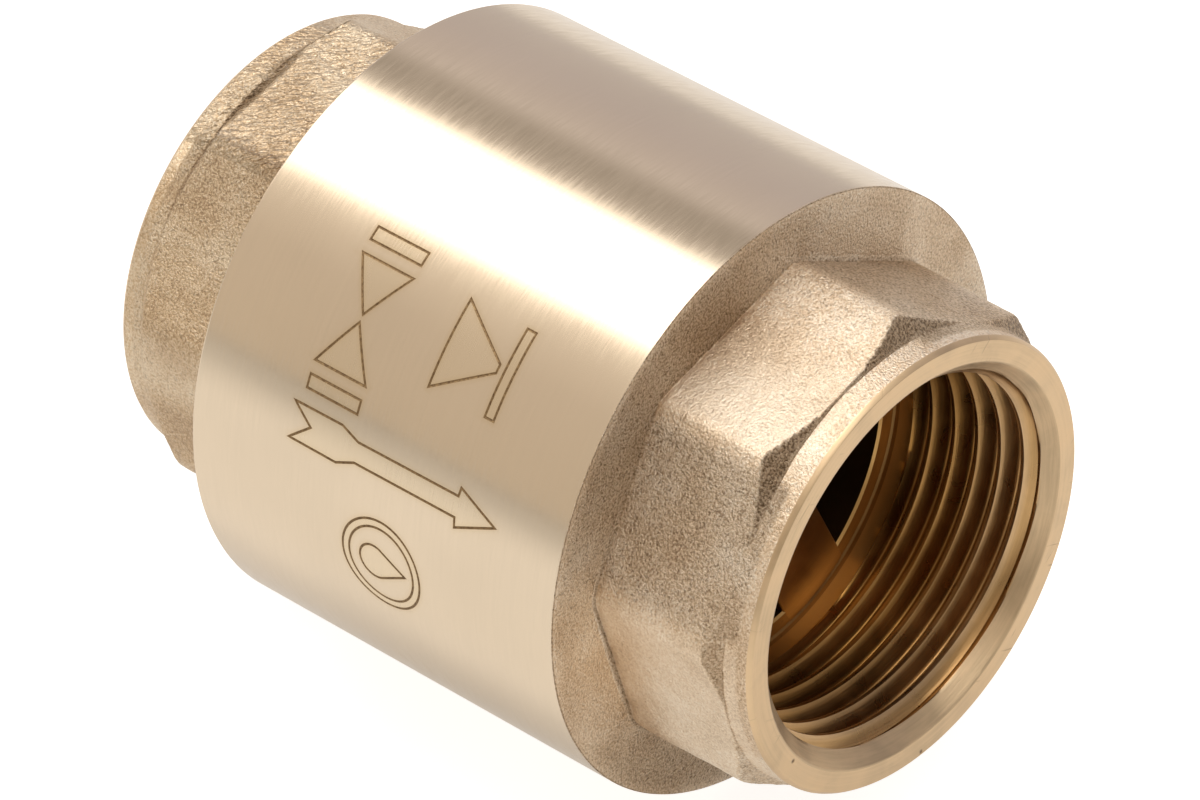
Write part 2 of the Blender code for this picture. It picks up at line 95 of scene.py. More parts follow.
# Painted shade on the inlet's octagon flats, a value to each flat.
INLET_FLAT_PAINTED_SHADE = (
    (0, 72, 80, 122, 129, 150, 185, 360), (0.10, 0.12, 0.0, 0.0, 0.26, 0.17, 0.07, 0.10))
# Painted shade in the crease between the annulus and the flats, stronger on the lower side.
FILLET_PAINTED_SHADE = ((0, 150, 172, 190, 236, 260, 360), (0.30, 0.36, 0.60, 0.62, 0.62, 0.40, 0.30))
CORNER_CUT = ((0, 140, 165, 245, 275, 360), (1.0, 1.0, 0.22, 0.22, 1.0, 1.0))


# ------------------------------------------------------------------ shape helpers
def smooth_min(first, second, width):
    share = np.clip(0.5 + 0.5 * (second - first) / width, 0, 1)
    return second * (1 - share) + first * share - width * share * (1 - share)


def smooth_max(first, second, width):
    return -smooth_min(-first, -second, width)


def lerp(start, end, share):
    return start + (end - start) * share


def wrap(x, radius, angles):
    """Points round the X axis."""
    return np.stack(np.broadcast_arrays(x, radius * np.cos(angles), radius * np.sin(angles)), -1)


def polygon_radius(angles, corner_at, apothem, rounding, sides=8):
    """Polar radius of a regular polygon with rounded corners, one at corner_at degrees."""
    half = pi / sides
    from_corner = np.mod(angles - radians(corner_at) + half, 2 * half) - half
    from_flat = half - np.abs(from_corner)
    flat = apothem / np.cos(from_flat)
    centre = (apothem - rounding) / cos(half)
    inside = np.maximum(rounding ** 2 - (centre * np.sin(from_corner)) ** 2, 0)
    arc = centre * np.cos(from_corner) + np.sqrt(inside)
    tangent = np.arctan2((apothem - rounding) * math.tan(half), apothem)
    return np.where(from_flat > tangent, arc, flat)


def fractal(x, radius, size, seed, octaves=2):
    """Noise of about -1..1 in every column; size is that of its features in mm."""
    places = zip(np.full(COLUMNS, x) / size + seed,
                 radius * np.cos(ANGLES) / size, radius * np.sin(ANGLES) / size)
    result = np.empty(COLUMNS)
    for i, (x, y, z) in enumerate(places):
        value, strength, frequency = 0.0, 1.0, 1.0
        for _ in range(octaves):
            value += strength * noise.noise((x * frequency, y * frequency, z * frequency))
            strength *= 0.5
            frequency *= 2.1
        result[i] = value
    return result


class Rows:
    """A surface round the X axis: rows of x and radius over all columns.

    The rows of the thread follow its helix, so they are one lead further along
    after a turn: `zone` holds the first and the last of them and how many rows
    that lead is.
    """

    def __init__(self):
        self.x, self.radius = [], []
        self.slot = []                # material slot of each row
        self.fields = {"cast_cut": [], "thread_cut": [], "thread_groove": []}
        self.zone = None

    def add(self, x, radius, slot, **fields):
        self.x.append(np.full(COLUMNS, x, float))
        self.radius.append(np.full(COLUMNS, radius, float))
        self.slot.append(slot)
        for name, values in self.fields.items():
            values.append(np.full(COLUMNS, fields.get(name, 0.0), float))

    def path(self, points):
        """Go on from the last row to each (x, radius) in turn, in so many steps."""
        for x, radius, steps, slot in points:
            x_before, radius_before = self.x[-1][0], self.radius[-1][0]
            for i in range(1, steps + 1):
                self.add(lerp(x_before, x, i / steps), lerp(radius_before, radius, i / steps), slot)

    def field_values(self):
        return {name: np.array(values).ravel() for name, values in self.fields.items()}

    def faces(self, closed=False, flip=False):
        """Quads and the row each starts at; the clamped ends of the helix are merged."""
        first, last, lead = self.zone
        n_rows = len(self.x)
        index = np.arange(n_rows * COLUMNS).reshape(n_rows, COLUMNS)
        for i in range(first, last + 1):
            at_start = self.x[i] >= self.x[first][0] - 1e-9
            at_end = self.x[i] <= self.x[last][0] + 1e-9
            index[i] = np.where(at_start, index[first], np.where(at_end, index[last], index[i]))
        faces, starts = [], []
        for i in range(n_rows if closed else n_rows - 1):
            following = (i + 1) % n_rows
            for j in range(COLUMNS):
                k = (j + 1) % COLUMNS
                near, far = i, following
                if k == 0 and first <= i < last:
                    near = min(max(i - lead, first), last)
                    far = min(max(i + 1 - lead, first), last)
                face = [int(index[i][j]), int(index[near][k]),
                        int(index[far][k]), int(index[following][j])]
                face = [corner for p, corner in enumerate(face) if corner != face[p - 1]]
                if len(set(face)) < 3:
                    continue
                faces.append(tuple(face[::-1] if flip else face))
                starts.append(i)
        return faces, starts


def compact(vertices, faces, fields):
    """Drop the vertices that no face uses."""
    used = np.zeros(len(vertices), bool)
    for face in faces:
        used[list(face)] = True
    new = np.cumsum(used) - 1
    return (vertices[used], [tuple(int(new[i]) for i in face) for face in faces],
            {name: values[used] for name, values in fields.items()})


def mesh_object(name, vertices, faces, materials, sharp, slots=None, fields=None):
    """Smooth-shaded object, with edges over `sharp` degrees kept sharp."""
    mesh = bpy.data.meshes.new(name)
    mesh.from_pydata(np.asarray(vertices).tolist(), [], faces)
    for material in materials:
        mesh.materials.append(material)
    if slots is not None:
        mesh.polygons.foreach_set("material_index", np.asarray(slots, np.int32))
    mesh.update()
    mesh.shade_smooth()
    mesh.set_sharp_from_angle(angle=radians(sharp))
    obj = bpy.data.objects.new(name, mesh)
    bpy.context.scene.collection.objects.link(obj)
    for field, values in (fields or {}).items():
        attribute = mesh.attributes.new(field, 'FLOAT', 'POINT')
        attribute.data.foreach_set("value", np.asarray(values, np.float32))
    return obj


def round_profile(corners, steps=5):
    """(x, radius, fillet) corners -> an (x, radius) polyline with rounded corners."""
    outline = []
    for i, (x, radius, fillet) in enumerate(corners):
        if fillet <= 0:
            outline.append((x, radius))
            continue
        corner = Vector((x, radius))
        before = Vector(corners[i - 1][:2])
        after = Vector(corners[(i + 1) % len(corners)][:2])
        to_before = (before - corner).normalized()
        to_after = (after - corner).normalized()
        half = math.acos(max(-1.0, min(1.0, to_before.dot(to_after)))) / 2
        reach = min(fillet / math.tan(half), (before - corner).length * 0.48,
                    (after - corner).length * 0.48)
        fillet = reach * math.tan(half)
        centre = corner + (to_before + to_after).normalized() * (fillet / sin(half))
        start = corner + to_before * reach - centre
        end = corner + to_after * reach - centre
        start_angle = atan2(start.y, start.x)
        turn = atan2(end.y, end.x) - start_angle
        turn = (turn + pi) % tau - pi
        for k in range(steps + 1):
            angle = start_angle + turn * k / steps
            outline.append((centre.x + fillet * cos(angle), centre.y + fillet * sin(angle)))
    return outline


def lathe(name, corners, material, columns, shape=None):
    """Turn a closed loop of (x, radius, fillet) about the X axis; its outside runs to +X.

    shape(x, radius, angles) may vary the radius round the axis.
    """
    loop = round_profile(corners)
    angles = np.arange(columns) * tau / columns
    vertices = np.concatenate([
        wrap(x, shape(x, radius, angles) if shape else radius, angles) for x, radius in loop])
    faces = []
    for i in range(len(loop)):
        near, far = i * columns, ((i + 1) % len(loop)) * columns
        for j in range(columns):
            k = (j + 1) % columns
            faces.append((near + j, near + k, far + k, far + j))
    return mesh_object(name, vertices * MM, faces, [material], sharp=28.0)


# ------------------------------------------------------------------- materials
def fill_ramp(ramp, stops):
    while len(ramp.elements) < len(stops):
        ramp.elements.new(0.5)
    for element, (place, colour) in zip(ramp.elements, stops):
        element.position = place
        element.color = (*colour, 1.0)


def tone(colour, factor):
    return tuple(min(1, channel * factor) for channel in colour)


class Graph:
    """A material's nodes.  Inputs take sockets or plain values; calls return sockets."""

    def __init__(self, name):
        self.material = bpy.data.materials.new(name)
        self.material.use_nodes = True
        self.tree = self.material.node_tree
        self.shader = self.tree.nodes["Principled BSDF"]
        self.position = self.node("ShaderNodeTexCoord").outputs["Object"]

    def feed(self, socket, value):
        if isinstance(value, bpy.types.NodeSocket):
            self.tree.links.new(value, socket)
        elif socket.type == 'RGBA':
            socket.default_value = (*value, 1.0)
        else:
            socket.default_value = value

    def node(self, kind, inputs=None, **settings):
        node = self.tree.nodes.new(kind)
        for name, value in settings.items():
            setattr(node, name, value)
        for key, value in (inputs or {}).items():
            self.feed(node.inputs[key], value)
        return node

    def math(self, operation, first, second=0.0, clamp=False):
        return self.node("ShaderNodeMath", {0: first, 1: second, 2: 0.0},
                         operation=operation, use_clamp=clamp).outputs[0]

    def times(self, first, second):
        return self.math('MULTIPLY', first, second)

    def plus(self, first, second, clamp=False):
        return self.math('ADD', first, second, clamp)

    def minus(self, first, second):
        return self.math('SUBTRACT', first, second)

    def blend(self, first, second, share, gain=1.0):
        """`share` of the first and the rest of the second, times gain."""
        return self.plus(self.times(first, share * gain), self.times(second, (1 - share) * gain))

    def remap(self, value, span, to=(0.0, 1.0)):
        return self.node("ShaderNodeMapRange", {
            "Value": value, "From Min": span[0], "From Max": span[1],
            "To Min": to[0], "To Max": to[1]}).outputs["Result"]

    def noise(self, scale, detail=2.0, rough=0.5, distortion=0.0, at=None):
        return self.node("ShaderNodeTexNoise", {
            "Vector": at or self.position, "Scale": scale, "Detail": detail,
            "Roughness": rough, "Distortion": distortion}).outputs["Fac"]

    def ring_noise(self, across, per_metre, per_radian, offset=0.0, **texture):
        """Noise drawn out round the axis; `across` is x or the radius."""
        place = self.combine(self.times(across, per_metre), self.times(self.angle, per_radian), offset)
        return self.noise(scale=1.0, at=place, **texture)

    def ramp(self, value, stops):
        node = self.node("ShaderNodeValToRGB", {"Fac": value})
        fill_ramp(node.color_ramp, stops)
        return node.outputs["Color"]

    def two_tone(self, value, base, dark, light):
        return self.ramp(value, [(0.3, tone(base, dark)), (0.7, tone(base, light))])

    def mix(self, share, first, second, mode='MIX'):
        return self.node("ShaderNodeMix", {"Factor": share, 6: first, 7: second},
                         data_type='RGBA', blend_type=mode).outputs[2]

    def bump(self, height, distance, strength=1.0):
        return self.node("ShaderNodeBump", {
            "Height": height, "Distance": distance, "Strength": strength}).outputs["Normal"]

    def attribute(self, name):
        return self.node("ShaderNodeAttribute", attribute_name=name).outputs["Fac"]

    def combine(self, x, y, z):
        return self.node("ShaderNodeCombineXYZ", {0: x, 1: y, 2: z}).outputs[0]

    @cached_property
    def xyz(self):
        return tuple(self.node("ShaderNodeSeparateXYZ", {0: self.position}).outputs)

    @cached_property
    def angle(self):
        """Angle round the flow axis, in radians."""
        return self.math('ARCTAN2', self.xyz[2], self.xyz[1])

    @cached_property
    def radius(self):
        _, y, z = self.xyz
        return self.math('SQRT', self.plus(self.times(y, y), self.times(z, z)))

    def shade(self, colour, rough, normal=None, metal=1.0, anisotropy=None):
        """Feed the shader; anisotropy stretches highlights across marks round the axis."""
        inputs = {"Base Color": colour, "Roughness": rough, "Metallic": metal}
        if normal is not None:
            inputs["Normal"] = normal
        if anisotropy is not None:
            tangent = self.node("ShaderNodeTangent", direction_type='RADIAL', axis='X')
            inputs.update({"Anisotropic": anisotropy, "Anisotropic Rotation": 0.25,
                           "Tangent": tangent.outputs[0]})
        for name, value in inputs.items():
            self.feed(self.shader.inputs[name], value)
        return self.material


def skin_crease(mat):
    """Slanting creases of the mould's skin, on one upper flat."""
    slant_cos, slant_sin = 0.77, 0.64
    flat_middle, flat_edge = 1.80, (0.37, 0.43)      # radians: centre, fade beside it
    x = mat.xyz[0]
    arc = mat.times(mat.angle, 0.0151)               # arc length at the flats' radius, m
    along = mat.minus(mat.times(x, slant_cos), mat.times(arc, slant_sin))
    across = mat.plus(mat.times(x, slant_sin), mat.times(arc, slant_cos))
    place = mat.combine(mat.times(along, 1300.0), mat.times(across, 3300.0), 0.0)
    crease = mat.noise(scale=1.0, rough=0.55, distortion=0.5, at=place)
    aside = mat.math('ABSOLUTE', mat.minus(mat.angle, flat_middle))
    return mat.times(crease, mat.remap(aside, flat_edge, to=(1.0, 0.0)))


def cast_brass(name, tint=(1, 1, 1), ridge=0.90, lumps=0.45, creased=False):
    """Fine-sand-cast brass: a close grain of sand marks, satin between them.

    Its cut attribute darkens and coarsens it above 0, for cut skin and painted shade,
    and brightens it below 0 as painted light.
    """
    grain_height, pit_depth, crease_height = 0.80, 0.16, 6.2
    cut_limit, cut_gain = 0.45, 7.0                  # how far cast_cut raises the relief
    mat = Graph(name)
    grain = mat.noise(scale=6600, detail=3, rough=0.62)
    clump = mat.noise(scale=2100, rough=0.55, distortion=0.4)
    broad = mat.noise(scale=170, detail=3, rough=0.55)
    cut = mat.attribute("cast_cut")
    pit = mat.remap(mat.noise(scale=5600, detail=1, distortion=0.4), (0.37, 0.45), to=(1.0, 0.0))
    pit = mat.times(pit, mat.remap(clump, (0.40, 0.60), to=(1.0, 0.35)))
    height = mat.plus(mat.times(grain, grain_height), mat.times(clump, lumps))
    height = mat.minus(height, mat.times(pit, pit_depth))
    if creased:
        height = mat.plus(height, mat.times(skin_crease(mat), crease_height))

    shades = ((0.36, (0.54, 0.375, 0.230)), (0.48, (0.80, 0.620, 0.430)),
              (0.61, (0.97, 0.850, 0.690)))
    tinted = [(place, tuple(channel * factor for channel, factor in zip(shade, tint)))
              for place, shade in shades]
    base = mat.ramp(mat.blend(grain, broad, share=0.6), tinted)
    # pits are darker, the more so where cut or under painted shade
    pit_share = mat.times(pit, mat.plus(0.30, mat.times(cut, 1.1), clamp=True))
    base = mat.mix(pit_share, base, (0.26, 0.17, 0.095))
    # cut skin, and painted shade: dark specks among lighter grain
    specks = mat.mix(mat.remap(grain, (0.42, 0.56)), (0.085, 0.05, 0.025), (0.46, 0.325, 0.20))
    base = mat.mix(mat.times(cut, 0.8), base, specks)
    # negative values: painted light, a lighter base
    base = mat.mix(mat.remap(cut, (-1.0, 0.0), to=(1.0, 0.0)), base, (1.0, 0.875, 0.70))

    rough = mat.remap(mat.blend(clump, broad, share=0.6), (0.35, 0.65), to=(0.36, 0.50))
    limited = mat.math('MAXIMUM', mat.math('MINIMUM', cut, cut_limit), 0.0)
    height = mat.times(height, mat.plus(ridge, mat.times(limited, cut_gain)))
    return mat.shade(base, rough, mat.bump(height, distance=0.000125, strength=0.95))


def turned_brass(name, base, rough, anisotropy, line, marks=False):
    """Brass turned about the flow axis; `line` is the strength of its fine rings."""
    mat = Graph(name)
    x = mat.xyz[0]
    fine = mat.ring_noise(x, per_metre=5200, per_radian=2.2, detail=3, rough=0.6)
    wide = mat.ring_noise(x, per_metre=1500, per_radian=5.0, offset=3.7)
    streak = mat.ring_noise(x, per_metre=7600, per_radian=9.0, offset=9.1, detail=1, rough=0.6)
    broad = mat.noise(scale=90)
    height = mat.blend(fine, wide, share=0.6, gain=line)
    colour = mat.two_tone(mat.blend(broad, fine, share=0.7), base, dark=0.955, light=1.03)
    roughness = mat.remap(mat.blend(broad, streak, share=0.2), (0.36, 0.64),
                          to=(rough * (1 - 0.20 * line), rough * (1 + 0.30 * line)))
    if marks:                         # heat tint beside the marked lines and inside them
        halo, fill = mat.attribute("mark_halo"), mat.attribute("mark_fill")
        colour = mat.mix(mat.times(halo, 0.42), colour, (0.66, 0.49, 0.27))
        colour = mat.mix(mat.times(fill, 0.30), colour, (0.83, 0.67, 0.44))
        roughness = mat.plus(roughness, mat.times(fill, 0.02))
    return mat.shade(colour, roughness, mat.bump(height, distance=0.0000045 * line),
                     anisotropy=anisotropy)


def scratches(mat):
    """Two sets of fine handling scratches over the end face, in patches."""
    found = None
    for i, (y_scale, z_scale, slant) in enumerate(((260.0, 5200.0, 0.35), (5600.0, 420.0, 0.85))):
        turned = mat.node("ShaderNodeVectorRotate", {"Vector": mat.position, "Angle": slant},
                          rotation_type='X_AXIS')
        place = mat.node("ShaderNodeMapping", {
            "Vector": turned.outputs[0], "Scale": (300.0, y_scale, z_scale),
            "Location": (i * 3.1, i * 1.7, 0.4)}).outputs[0]
        lines = mat.remap(mat.noise(scale=1.0, detail=1, distortion=0.5, at=place), (0.65, 0.74))
        lines = mat.times(lines, mat.remap(mat.noise(scale=420, detail=1), (0.56, 0.66)))
        found = lines if found is None else mat.math('MAXIMUM', found, lines)
    return found


def faced_brass(name, base):
    """Faced-off end: concentric tool marks, handling scratches and a few nicks."""
    fine_height, nick_depth, scratch_depth = 0.8, 3.0, 1.2
    mat = Graph(name)
    fine = mat.ring_noise(mat.radius, per_metre=5200, per_radian=1.6, detail=3, rough=0.6)
    broad = mat.noise(scale=240, detail=3, rough=0.6, distortion=0.5)
    scratch = scratches(mat)
    cells = mat.node("ShaderNodeTexVoronoi", {"Vector": mat.position, "Scale": 520.0})
    nick = mat.times(mat.remap(cells.outputs["Distance"], (0.04, 0.10), to=(1.0, 0.0)),
                     mat.remap(mat.noise(scale=300, detail=1), (0.60, 0.64)))
    height = mat.minus(mat.times(fine, fine_height), mat.times(nick, nick_depth))
    height = mat.minus(height, mat.times(scratch, scratch_depth))
    colour = mat.ramp(mat.blend(broad, fine, share=0.7),
                      [(0.32, tone(base, 0.82)), (0.50, base), (0.68, tone(base, 1.10))])
    colour = mat.mix(mat.times(scratch, 0.45), colour, tone(base, 0.42))
    colour = mat.mix(mat.times(nick, 0.85), colour, (0.12, 0.07, 0.035))
    return mat.shade(colour, mat.remap(broad, (0.3, 0.7), to=(0.30, 0.46)),
                     mat.bump(height, distance=0.0000085))


def bore_brass(name):
    """Tapped bore: bright chamfer, darker thread, its crests lighter as painted highlight and its roots
    darker as painted shade.
    """
    scale = 6500.0
    mat = Graph(name)
    unwound = mat.minus(mat.xyz[0], mat.times(mat.angle, PITCH * MM / tau))
    place = mat.combine(mat.times(unwound, scale), mat.times(mat.angle, 4.0),
                        mat.times(mat.radius, scale))
    fine = mat.noise(scale=1.0, detail=3, rough=0.6, at=place)
    broad = mat.noise(scale=260, detail=3, rough=0.55, distortion=0.8)
    cut, groove = mat.attribute("thread_cut"), mat.attribute("thread_groove")
    deep = mat.remap(mat.math('ABSOLUTE', mat.xyz[0]), (0.0242, 0.0190))
    # painted highlight on the crests, painted shade in the roots; both darker deeper in
    crest = mat.mix(deep, (0.68, 0.46, 0.25), (0.55, 0.31, 0.105))
    root = mat.mix(deep, (0.60, 0.37, 0.16), (0.45, 0.23, 0.062))
    wall = mat.mix(mat.remap(groove, (0.02, 0.34)), crest, root)
    base = mat.mix(cut, (0.68, 0.50, 0.305), wall)
    shade = mat.remap(mat.blend(broad, fine, share=0.6), (0.3, 0.7), to=(0.74, 1.12))
    colour = mat.mix(1.0, base, mat.combine(shade, shade, shade), 'MULTIPLY')
    rough = mat.times(mat.remap(broad, (0.3, 0.7), to=(0.85, 1.15)),
                      mat.remap(cut, (0.0, 1.0), to=(0.42, 0.30)))
    return mat.shade(colour, rough, mat.bump(fine, distance=0.000014), anisotropy=0.5)


def burnt_line(name):
    """The burnt line that a marking laser leaves."""
    mat = Graph(name)
    grain = mat.noise(scale=5200, rough=0.6)
    colour = mat.ramp(grain, [(0.3, (0.15, 0.085, 0.035)), (0.7, (0.34, 0.22, 0.10))])
    return mat.shade(colour, 0.55, mat.bump(grain, distance=0.00001), metal=0.55)


def steel(name, base, rough, scale=4200.0):
    mat = Graph(name)
    place = mat.combine(mat.times(mat.radius, scale), mat.times(mat.angle, 3.0),
                        mat.times(mat.xyz[0], scale))
    fine = mat.noise(scale=1.0, detail=3, rough=0.6, at=place)
    colour = mat.two_tone(mat.noise(scale=300), base, dark=0.88, light=1.07)
    roughness = mat.remap(fine, (0.3, 0.7), to=(rough * 0.8, rough * 1.25))
    return mat.shade(colour, roughness, mat.bump(fine, distance=0.000006))


def rubber(name, base):
    mat = Graph(name)
    grain = mat.noise(scale=2600, detail=3, rough=0.6)
    colour = mat.two_tone(mat.noise(scale=350), base, dark=1.0, light=1.8)
    return mat.shade(colour, mat.remap(grain, (0.3, 0.7), to=(0.45, 0.62)),
                     mat.bump(grain, distance=0.000015), metal=0.0)


def acetal(name, base):
    mat = Graph(name)
    grain = mat.noise(scale=1800)
    colour = mat.two_tone(mat.noise(scale=260), base, dark=0.95, light=1.0)
    mat.feed(mat.shader.inputs["Subsurface Weight"], 0.08)
    return mat.shade(colour, mat.remap(grain, (0.3, 0.7), to=(0.30, 0.40)),
                     mat.bump(grain, distance=0.000008), metal=0.0)


CAST_BRASS = cast_brass("cast_brass")
INLET_CAST = cast_brass("cast_brass_inlet", tint=(0.855, 0.822, 0.752), ridge=0.66, lumps=0.36,
                        creased=True)
CASING_TURNED = turned_brass("turned_casing_brass", (0.80, 0.66, 0.49), rough=0.20,
                             anisotropy=0.75, line=1.0, marks=True)
MARK_LINE = burnt_line("marking_line")
END_FACE = faced_brass("faced_brass", (0.755, 0.550, 0.333))
TAPPED = bore_brass("tapped_brass")
MACHINED = turned_brass("machined_brass", (0.62, 0.37, 0.135), rough=0.34, anisotropy=0.7, line=0.3)
CHAMBER_WALL = turned_brass("chamber_brass", (0.26, 0.15, 0.06), rough=0.30, anisotropy=0.5,
                            line=0.3)
INNER_FACE = faced_brass("faced_inner_brass", (0.40, 0.225, 0.08))
STEM_BRASS = turned_brass("stem_brass", (0.78, 0.60, 0.33), rough=0.20, anisotropy=0.5, line=1.4)
DISC_BRASS = faced_brass("disc_brass", (0.76, 0.575, 0.315))
SPRING_STEEL = steel("spring_steel", (0.62, 0.62, 0.63), rough=0.20)
WASHER_STEEL = steel("washer_steel", (0.60, 0.60, 0.60), rough=0.28)
NUT_STEEL = steel("nut_steel", (0.57, 0.57, 0.58), rough=0.30)
SEAL_RUBBER = rubber("nitrile_rubber", (0.022, 0.022, 0.024))
O_RING_RUBBER = rubber("o_ring_rubber", (0.026, 0.026, 0.028))
ACETAL = acetal("acetal", (0.80, 0.79, 0.745))


# ---------------------------------------------------------------- the two hubs
def thread_radius(x, crest_at, depth):
    """Female G 3/4 thread, right-handed: bore radius in every column."""
    half_groove, flank = 0.756, 0.605       # half width at the crests, width of a flank
    turn = np.mod((x - crest_at - PITCH * ANGLES / tau) / PITCH, 1.0)      # 0 at a crest
    from_groove = np.abs(turn - 0.5) * PITCH
    slope = (half_groove - from_groove) / flank
    groove = smooth_min(smooth_max(slope, np.zeros_like(slope), 0.06), np.ones_like(slope), 0.12)
    return THREAD_MINOR_R + (THREAD_MAJOR_R - THREAD_MINOR_R) * depth * groove


def uneven_skin(rows, side, seed, first, annulus_rows):
    """Displace the cast rows from `first` on: the annulus along X, the rest radially."""
    after = len(rows.x)
    for i in range(first + 1, after):
        x, radius = side * rows.x[i], rows.radius[i]
        fade = min(1.0, (i - first) / 2.0) * min(1.0, (after - i) / 3.0)
        rise = fade * (0.035 * fractal(x, radius, 2.6, seed + 11)
                       + 0.030 * fractal(x, radius, 0.85, seed + 23, octaves=1))
        if first + 16 <= i < first + 22:          # rougher next to the annulus
            rise = rise + 0.035 * fractal(x, radius, 0.5, seed + 31, octaves=1)
        if i < first + annulus_rows:
            rows.x[i] += np.minimum(rise, 0.03)
        else:
            rows.radius[i] += rise


def cast_rows(rows, side, corner_at, inner_edge, seed, slot):
    """The rough annulus, the wrench octagon with its turned-off corners, the ring."""
    annulus_rows, fillet = 13, 0.07
    first = len(rows.x)
    rounding = np.interp((DEGREES - corner_at) % 360, *CORNER_ROUNDING)
    octagon = polygon_radius(ANGLES, corner_at, OCT_APOTHEM, rounding)
    octagon = octagon + 0.07 * fractal(side * 18.0, octagon, 7.0, seed)
    painted_annulus_shade = np.interp(DEGREES, *ANNULUS_PAINTED_SHADE)
    painted_fillet_shade = np.interp(DEGREES, *FILLET_PAINTED_SHADE)
    painted_flat_light_and_shade = np.interp(DEGREES, *(OUTLET_FLAT_PAINTED_LIGHT_AND_SHADE if side > 0 else INLET_FLAT_PAINTED_SHADE))
    corner_cut = np.interp(DEGREES, *CORNER_CUT)

    # the annulus, darkened by painted shade, a little less at its outer rim
    for i in range(annulus_rows):
        rows.add(HALF, lerp(inner_edge, octagon + fillet, i / annulus_rows), slot,
                 cast_cut=painted_annulus_shade * min(1.0, 0.4 + i / 4))
    # the crease's rows: painted shade, then the flats' painted light and shade
    for i, cut in enumerate((np.maximum(painted_annulus_shade, painted_fillet_shade), painted_fillet_shade, painted_flat_light_and_shade)):
        angle = radians(45 * i)
        rows.add(HALF + fillet - fillet * cos(angle), octagon + fillet - fillet * sin(angle),
                 slot, cast_cut=cut)

    stations = np.concatenate([np.linspace(HALF + fillet + 0.22, HALF + 7.6, 26),
                               np.linspace(HALF + 7.85, HALF + 9.9, 14)])
    wave = fractal(side * 23.0, 15.5, 2.2, seed + 5)
    for x in stations:
        draft = 0.10 * (x - HALF) / 8.0
        cone = RING_R + 0.22 + 1.15 * (HALF + 9.05 - x) + 0.07 * wave
        ring = RING_R + 0.10 * np.clip((HALF + 10.4 - x) / 1.4, 0, 1)
        skin = octagon - draft + 0.05
        cut = (np.clip((skin - cone + 0.02) / 0.10, 0, 1)
               * np.clip((cone - ring + 0.05) / 0.12, 0, 1))
        hollow = 0.0
        if side < 0:                  # a shallow hollow in the top of the inlet's ring
            along = x - (HALF + 8.95)
            hollow = (np.exp(-((DEGREES - 112) / 20) ** 2)
                      * math.exp(-(along / (0.42 if along > 0 else 0.62)) ** 2)
                      * (1 + 0.25 * wave))
        # cut corners, and painted shade in the hollow, over the flats' painted light and shade
        marked = np.maximum(cut * corner_cut, 0.90 * hollow ** 1.8)
        radius = smooth_min(skin, smooth_max(cone, ring, 0.25), 0.10) - 0.46 * hollow
        rows.add(x, radius, slot, cast_cut=lerp(painted_flat_light_and_shade, np.maximum(marked, painted_flat_light_and_shade),
                                                np.clip(8 * marked, 0, 1)))
    for step in (10.15, 10.4, 10.62, 10.78):
        rows.add(HALF + step, RING_R, slot)
    uneven_skin(rows, side, seed, first, annulus_rows)


def bore_rows(rows, side, crest_at, slot):
    """Mouth chamfer and thread; the rows follow the helix between two x limits."""
    per_turn = 18
    outer, inner = END - 0.05, RELIEF_FROM - 0.12
    chamfer_from = END - MOUTH_DEPTH
    turn = (ANGLES - SEAM) / tau
    count = int(math.ceil((outer - inner) / (PITCH / per_turn))) + per_turn + 1
    first = len(rows.x)
    helix_from = outer if side > 0 else outer + PITCH
    for i in range(count + 1):
        x = helix_from - i * PITCH / per_turn + side * PITCH * turn
        x = np.clip(x, inner, outer)
        chamfer = (THREAD_MINOR_R
                   + (MOUTH_R - THREAD_MINOR_R) * (x - chamfer_from) / MOUTH_DEPTH)
        chamfer = np.maximum(chamfer, THREAD_MINOR_R)
        into_relief = np.clip((RELIEF_FROM + 0.35 - x) / 0.45, 0, 1)
        wall = THREAD_MINOR_R + (RELIEF_R - THREAD_MINOR_R) * into_relief
        depth = np.clip((END - 0.25 - x) / 1.9, 0, 1) ** 0.8
        thread = thread_radius(side * x, crest_at, depth)
        groove = (np.maximum(thread, wall) - THREAD_MINOR_R) / (THREAD_MAJOR_R - THREAD_MINOR_R)
        rows.add(x, np.maximum(np.maximum(thread, chamfer), wall), slot,
                 thread_cut=np.where(x < chamfer_from, 1.0,
                                     np.clip((thread - chamfer) / 0.05, 0, 1)),
                 thread_groove=np.clip(groove, 0, 1))
    rows.zone = (first, first + count, side * per_turn)

    relief_end = PLATE_OUT + 0.35
    return (lerp(inner, relief_end, 0.5), relief_end)


def hub_rows(rows, side, corner_at, inner_edge, crest_at, seed, slots):
    """Outside of a wrench hub, its faced end, its thread and relief.

    x is a distance from the middle.  side is +1 for the outlet and -1 for the inlet,
    whose rows the caller mirrors.
    """
    cast, face, bore, inner = slots
    cast_rows(rows, side, corner_at, inner_edge, seed, cast)
    rows.add(END - 0.22, RING_R - 0.05, face)
    rows.add(END - 0.03, RING_R - 0.20, face)
    rows.add(END, RING_R - 0.24, face)
    rows.path([(END, MOUTH_R + 0.05, 6, face)])
    for x in bore_rows(rows, side, crest_at, bore):
        rows.add(x, RELIEF_R, inner)


# --------------------------------------------- marked outlines on the turned skin
# On the unrolled cylinder: u is the arc length round it, x lies along it, both mm.
LINE_HALF, LINE_DEPTH, HALO_WIDTH = 0.085, 0.045, 0.26


def resample(loop, step=0.32):
    """Points along a closed polyline, keeping its corners."""
    points = []
    for start, end in zip(loop, np.roll(loop, -1, 0)):
        count = max(1, int(math.ceil(np.hypot(*(end - start)) / step)))
        points += [start + (end - start) * k / count for k in range(count)]
    points = np.array(points)
    keep = [0]
    for i in range(1, len(points)):
        if np.hypot(*(points[i] - points[keep[-1]])) > 0.05:
            keep.append(i)
    if np.hypot(*(points[keep[-1]] - points[keep[0]])) < 0.05:
        keep.pop()
    return points[keep]


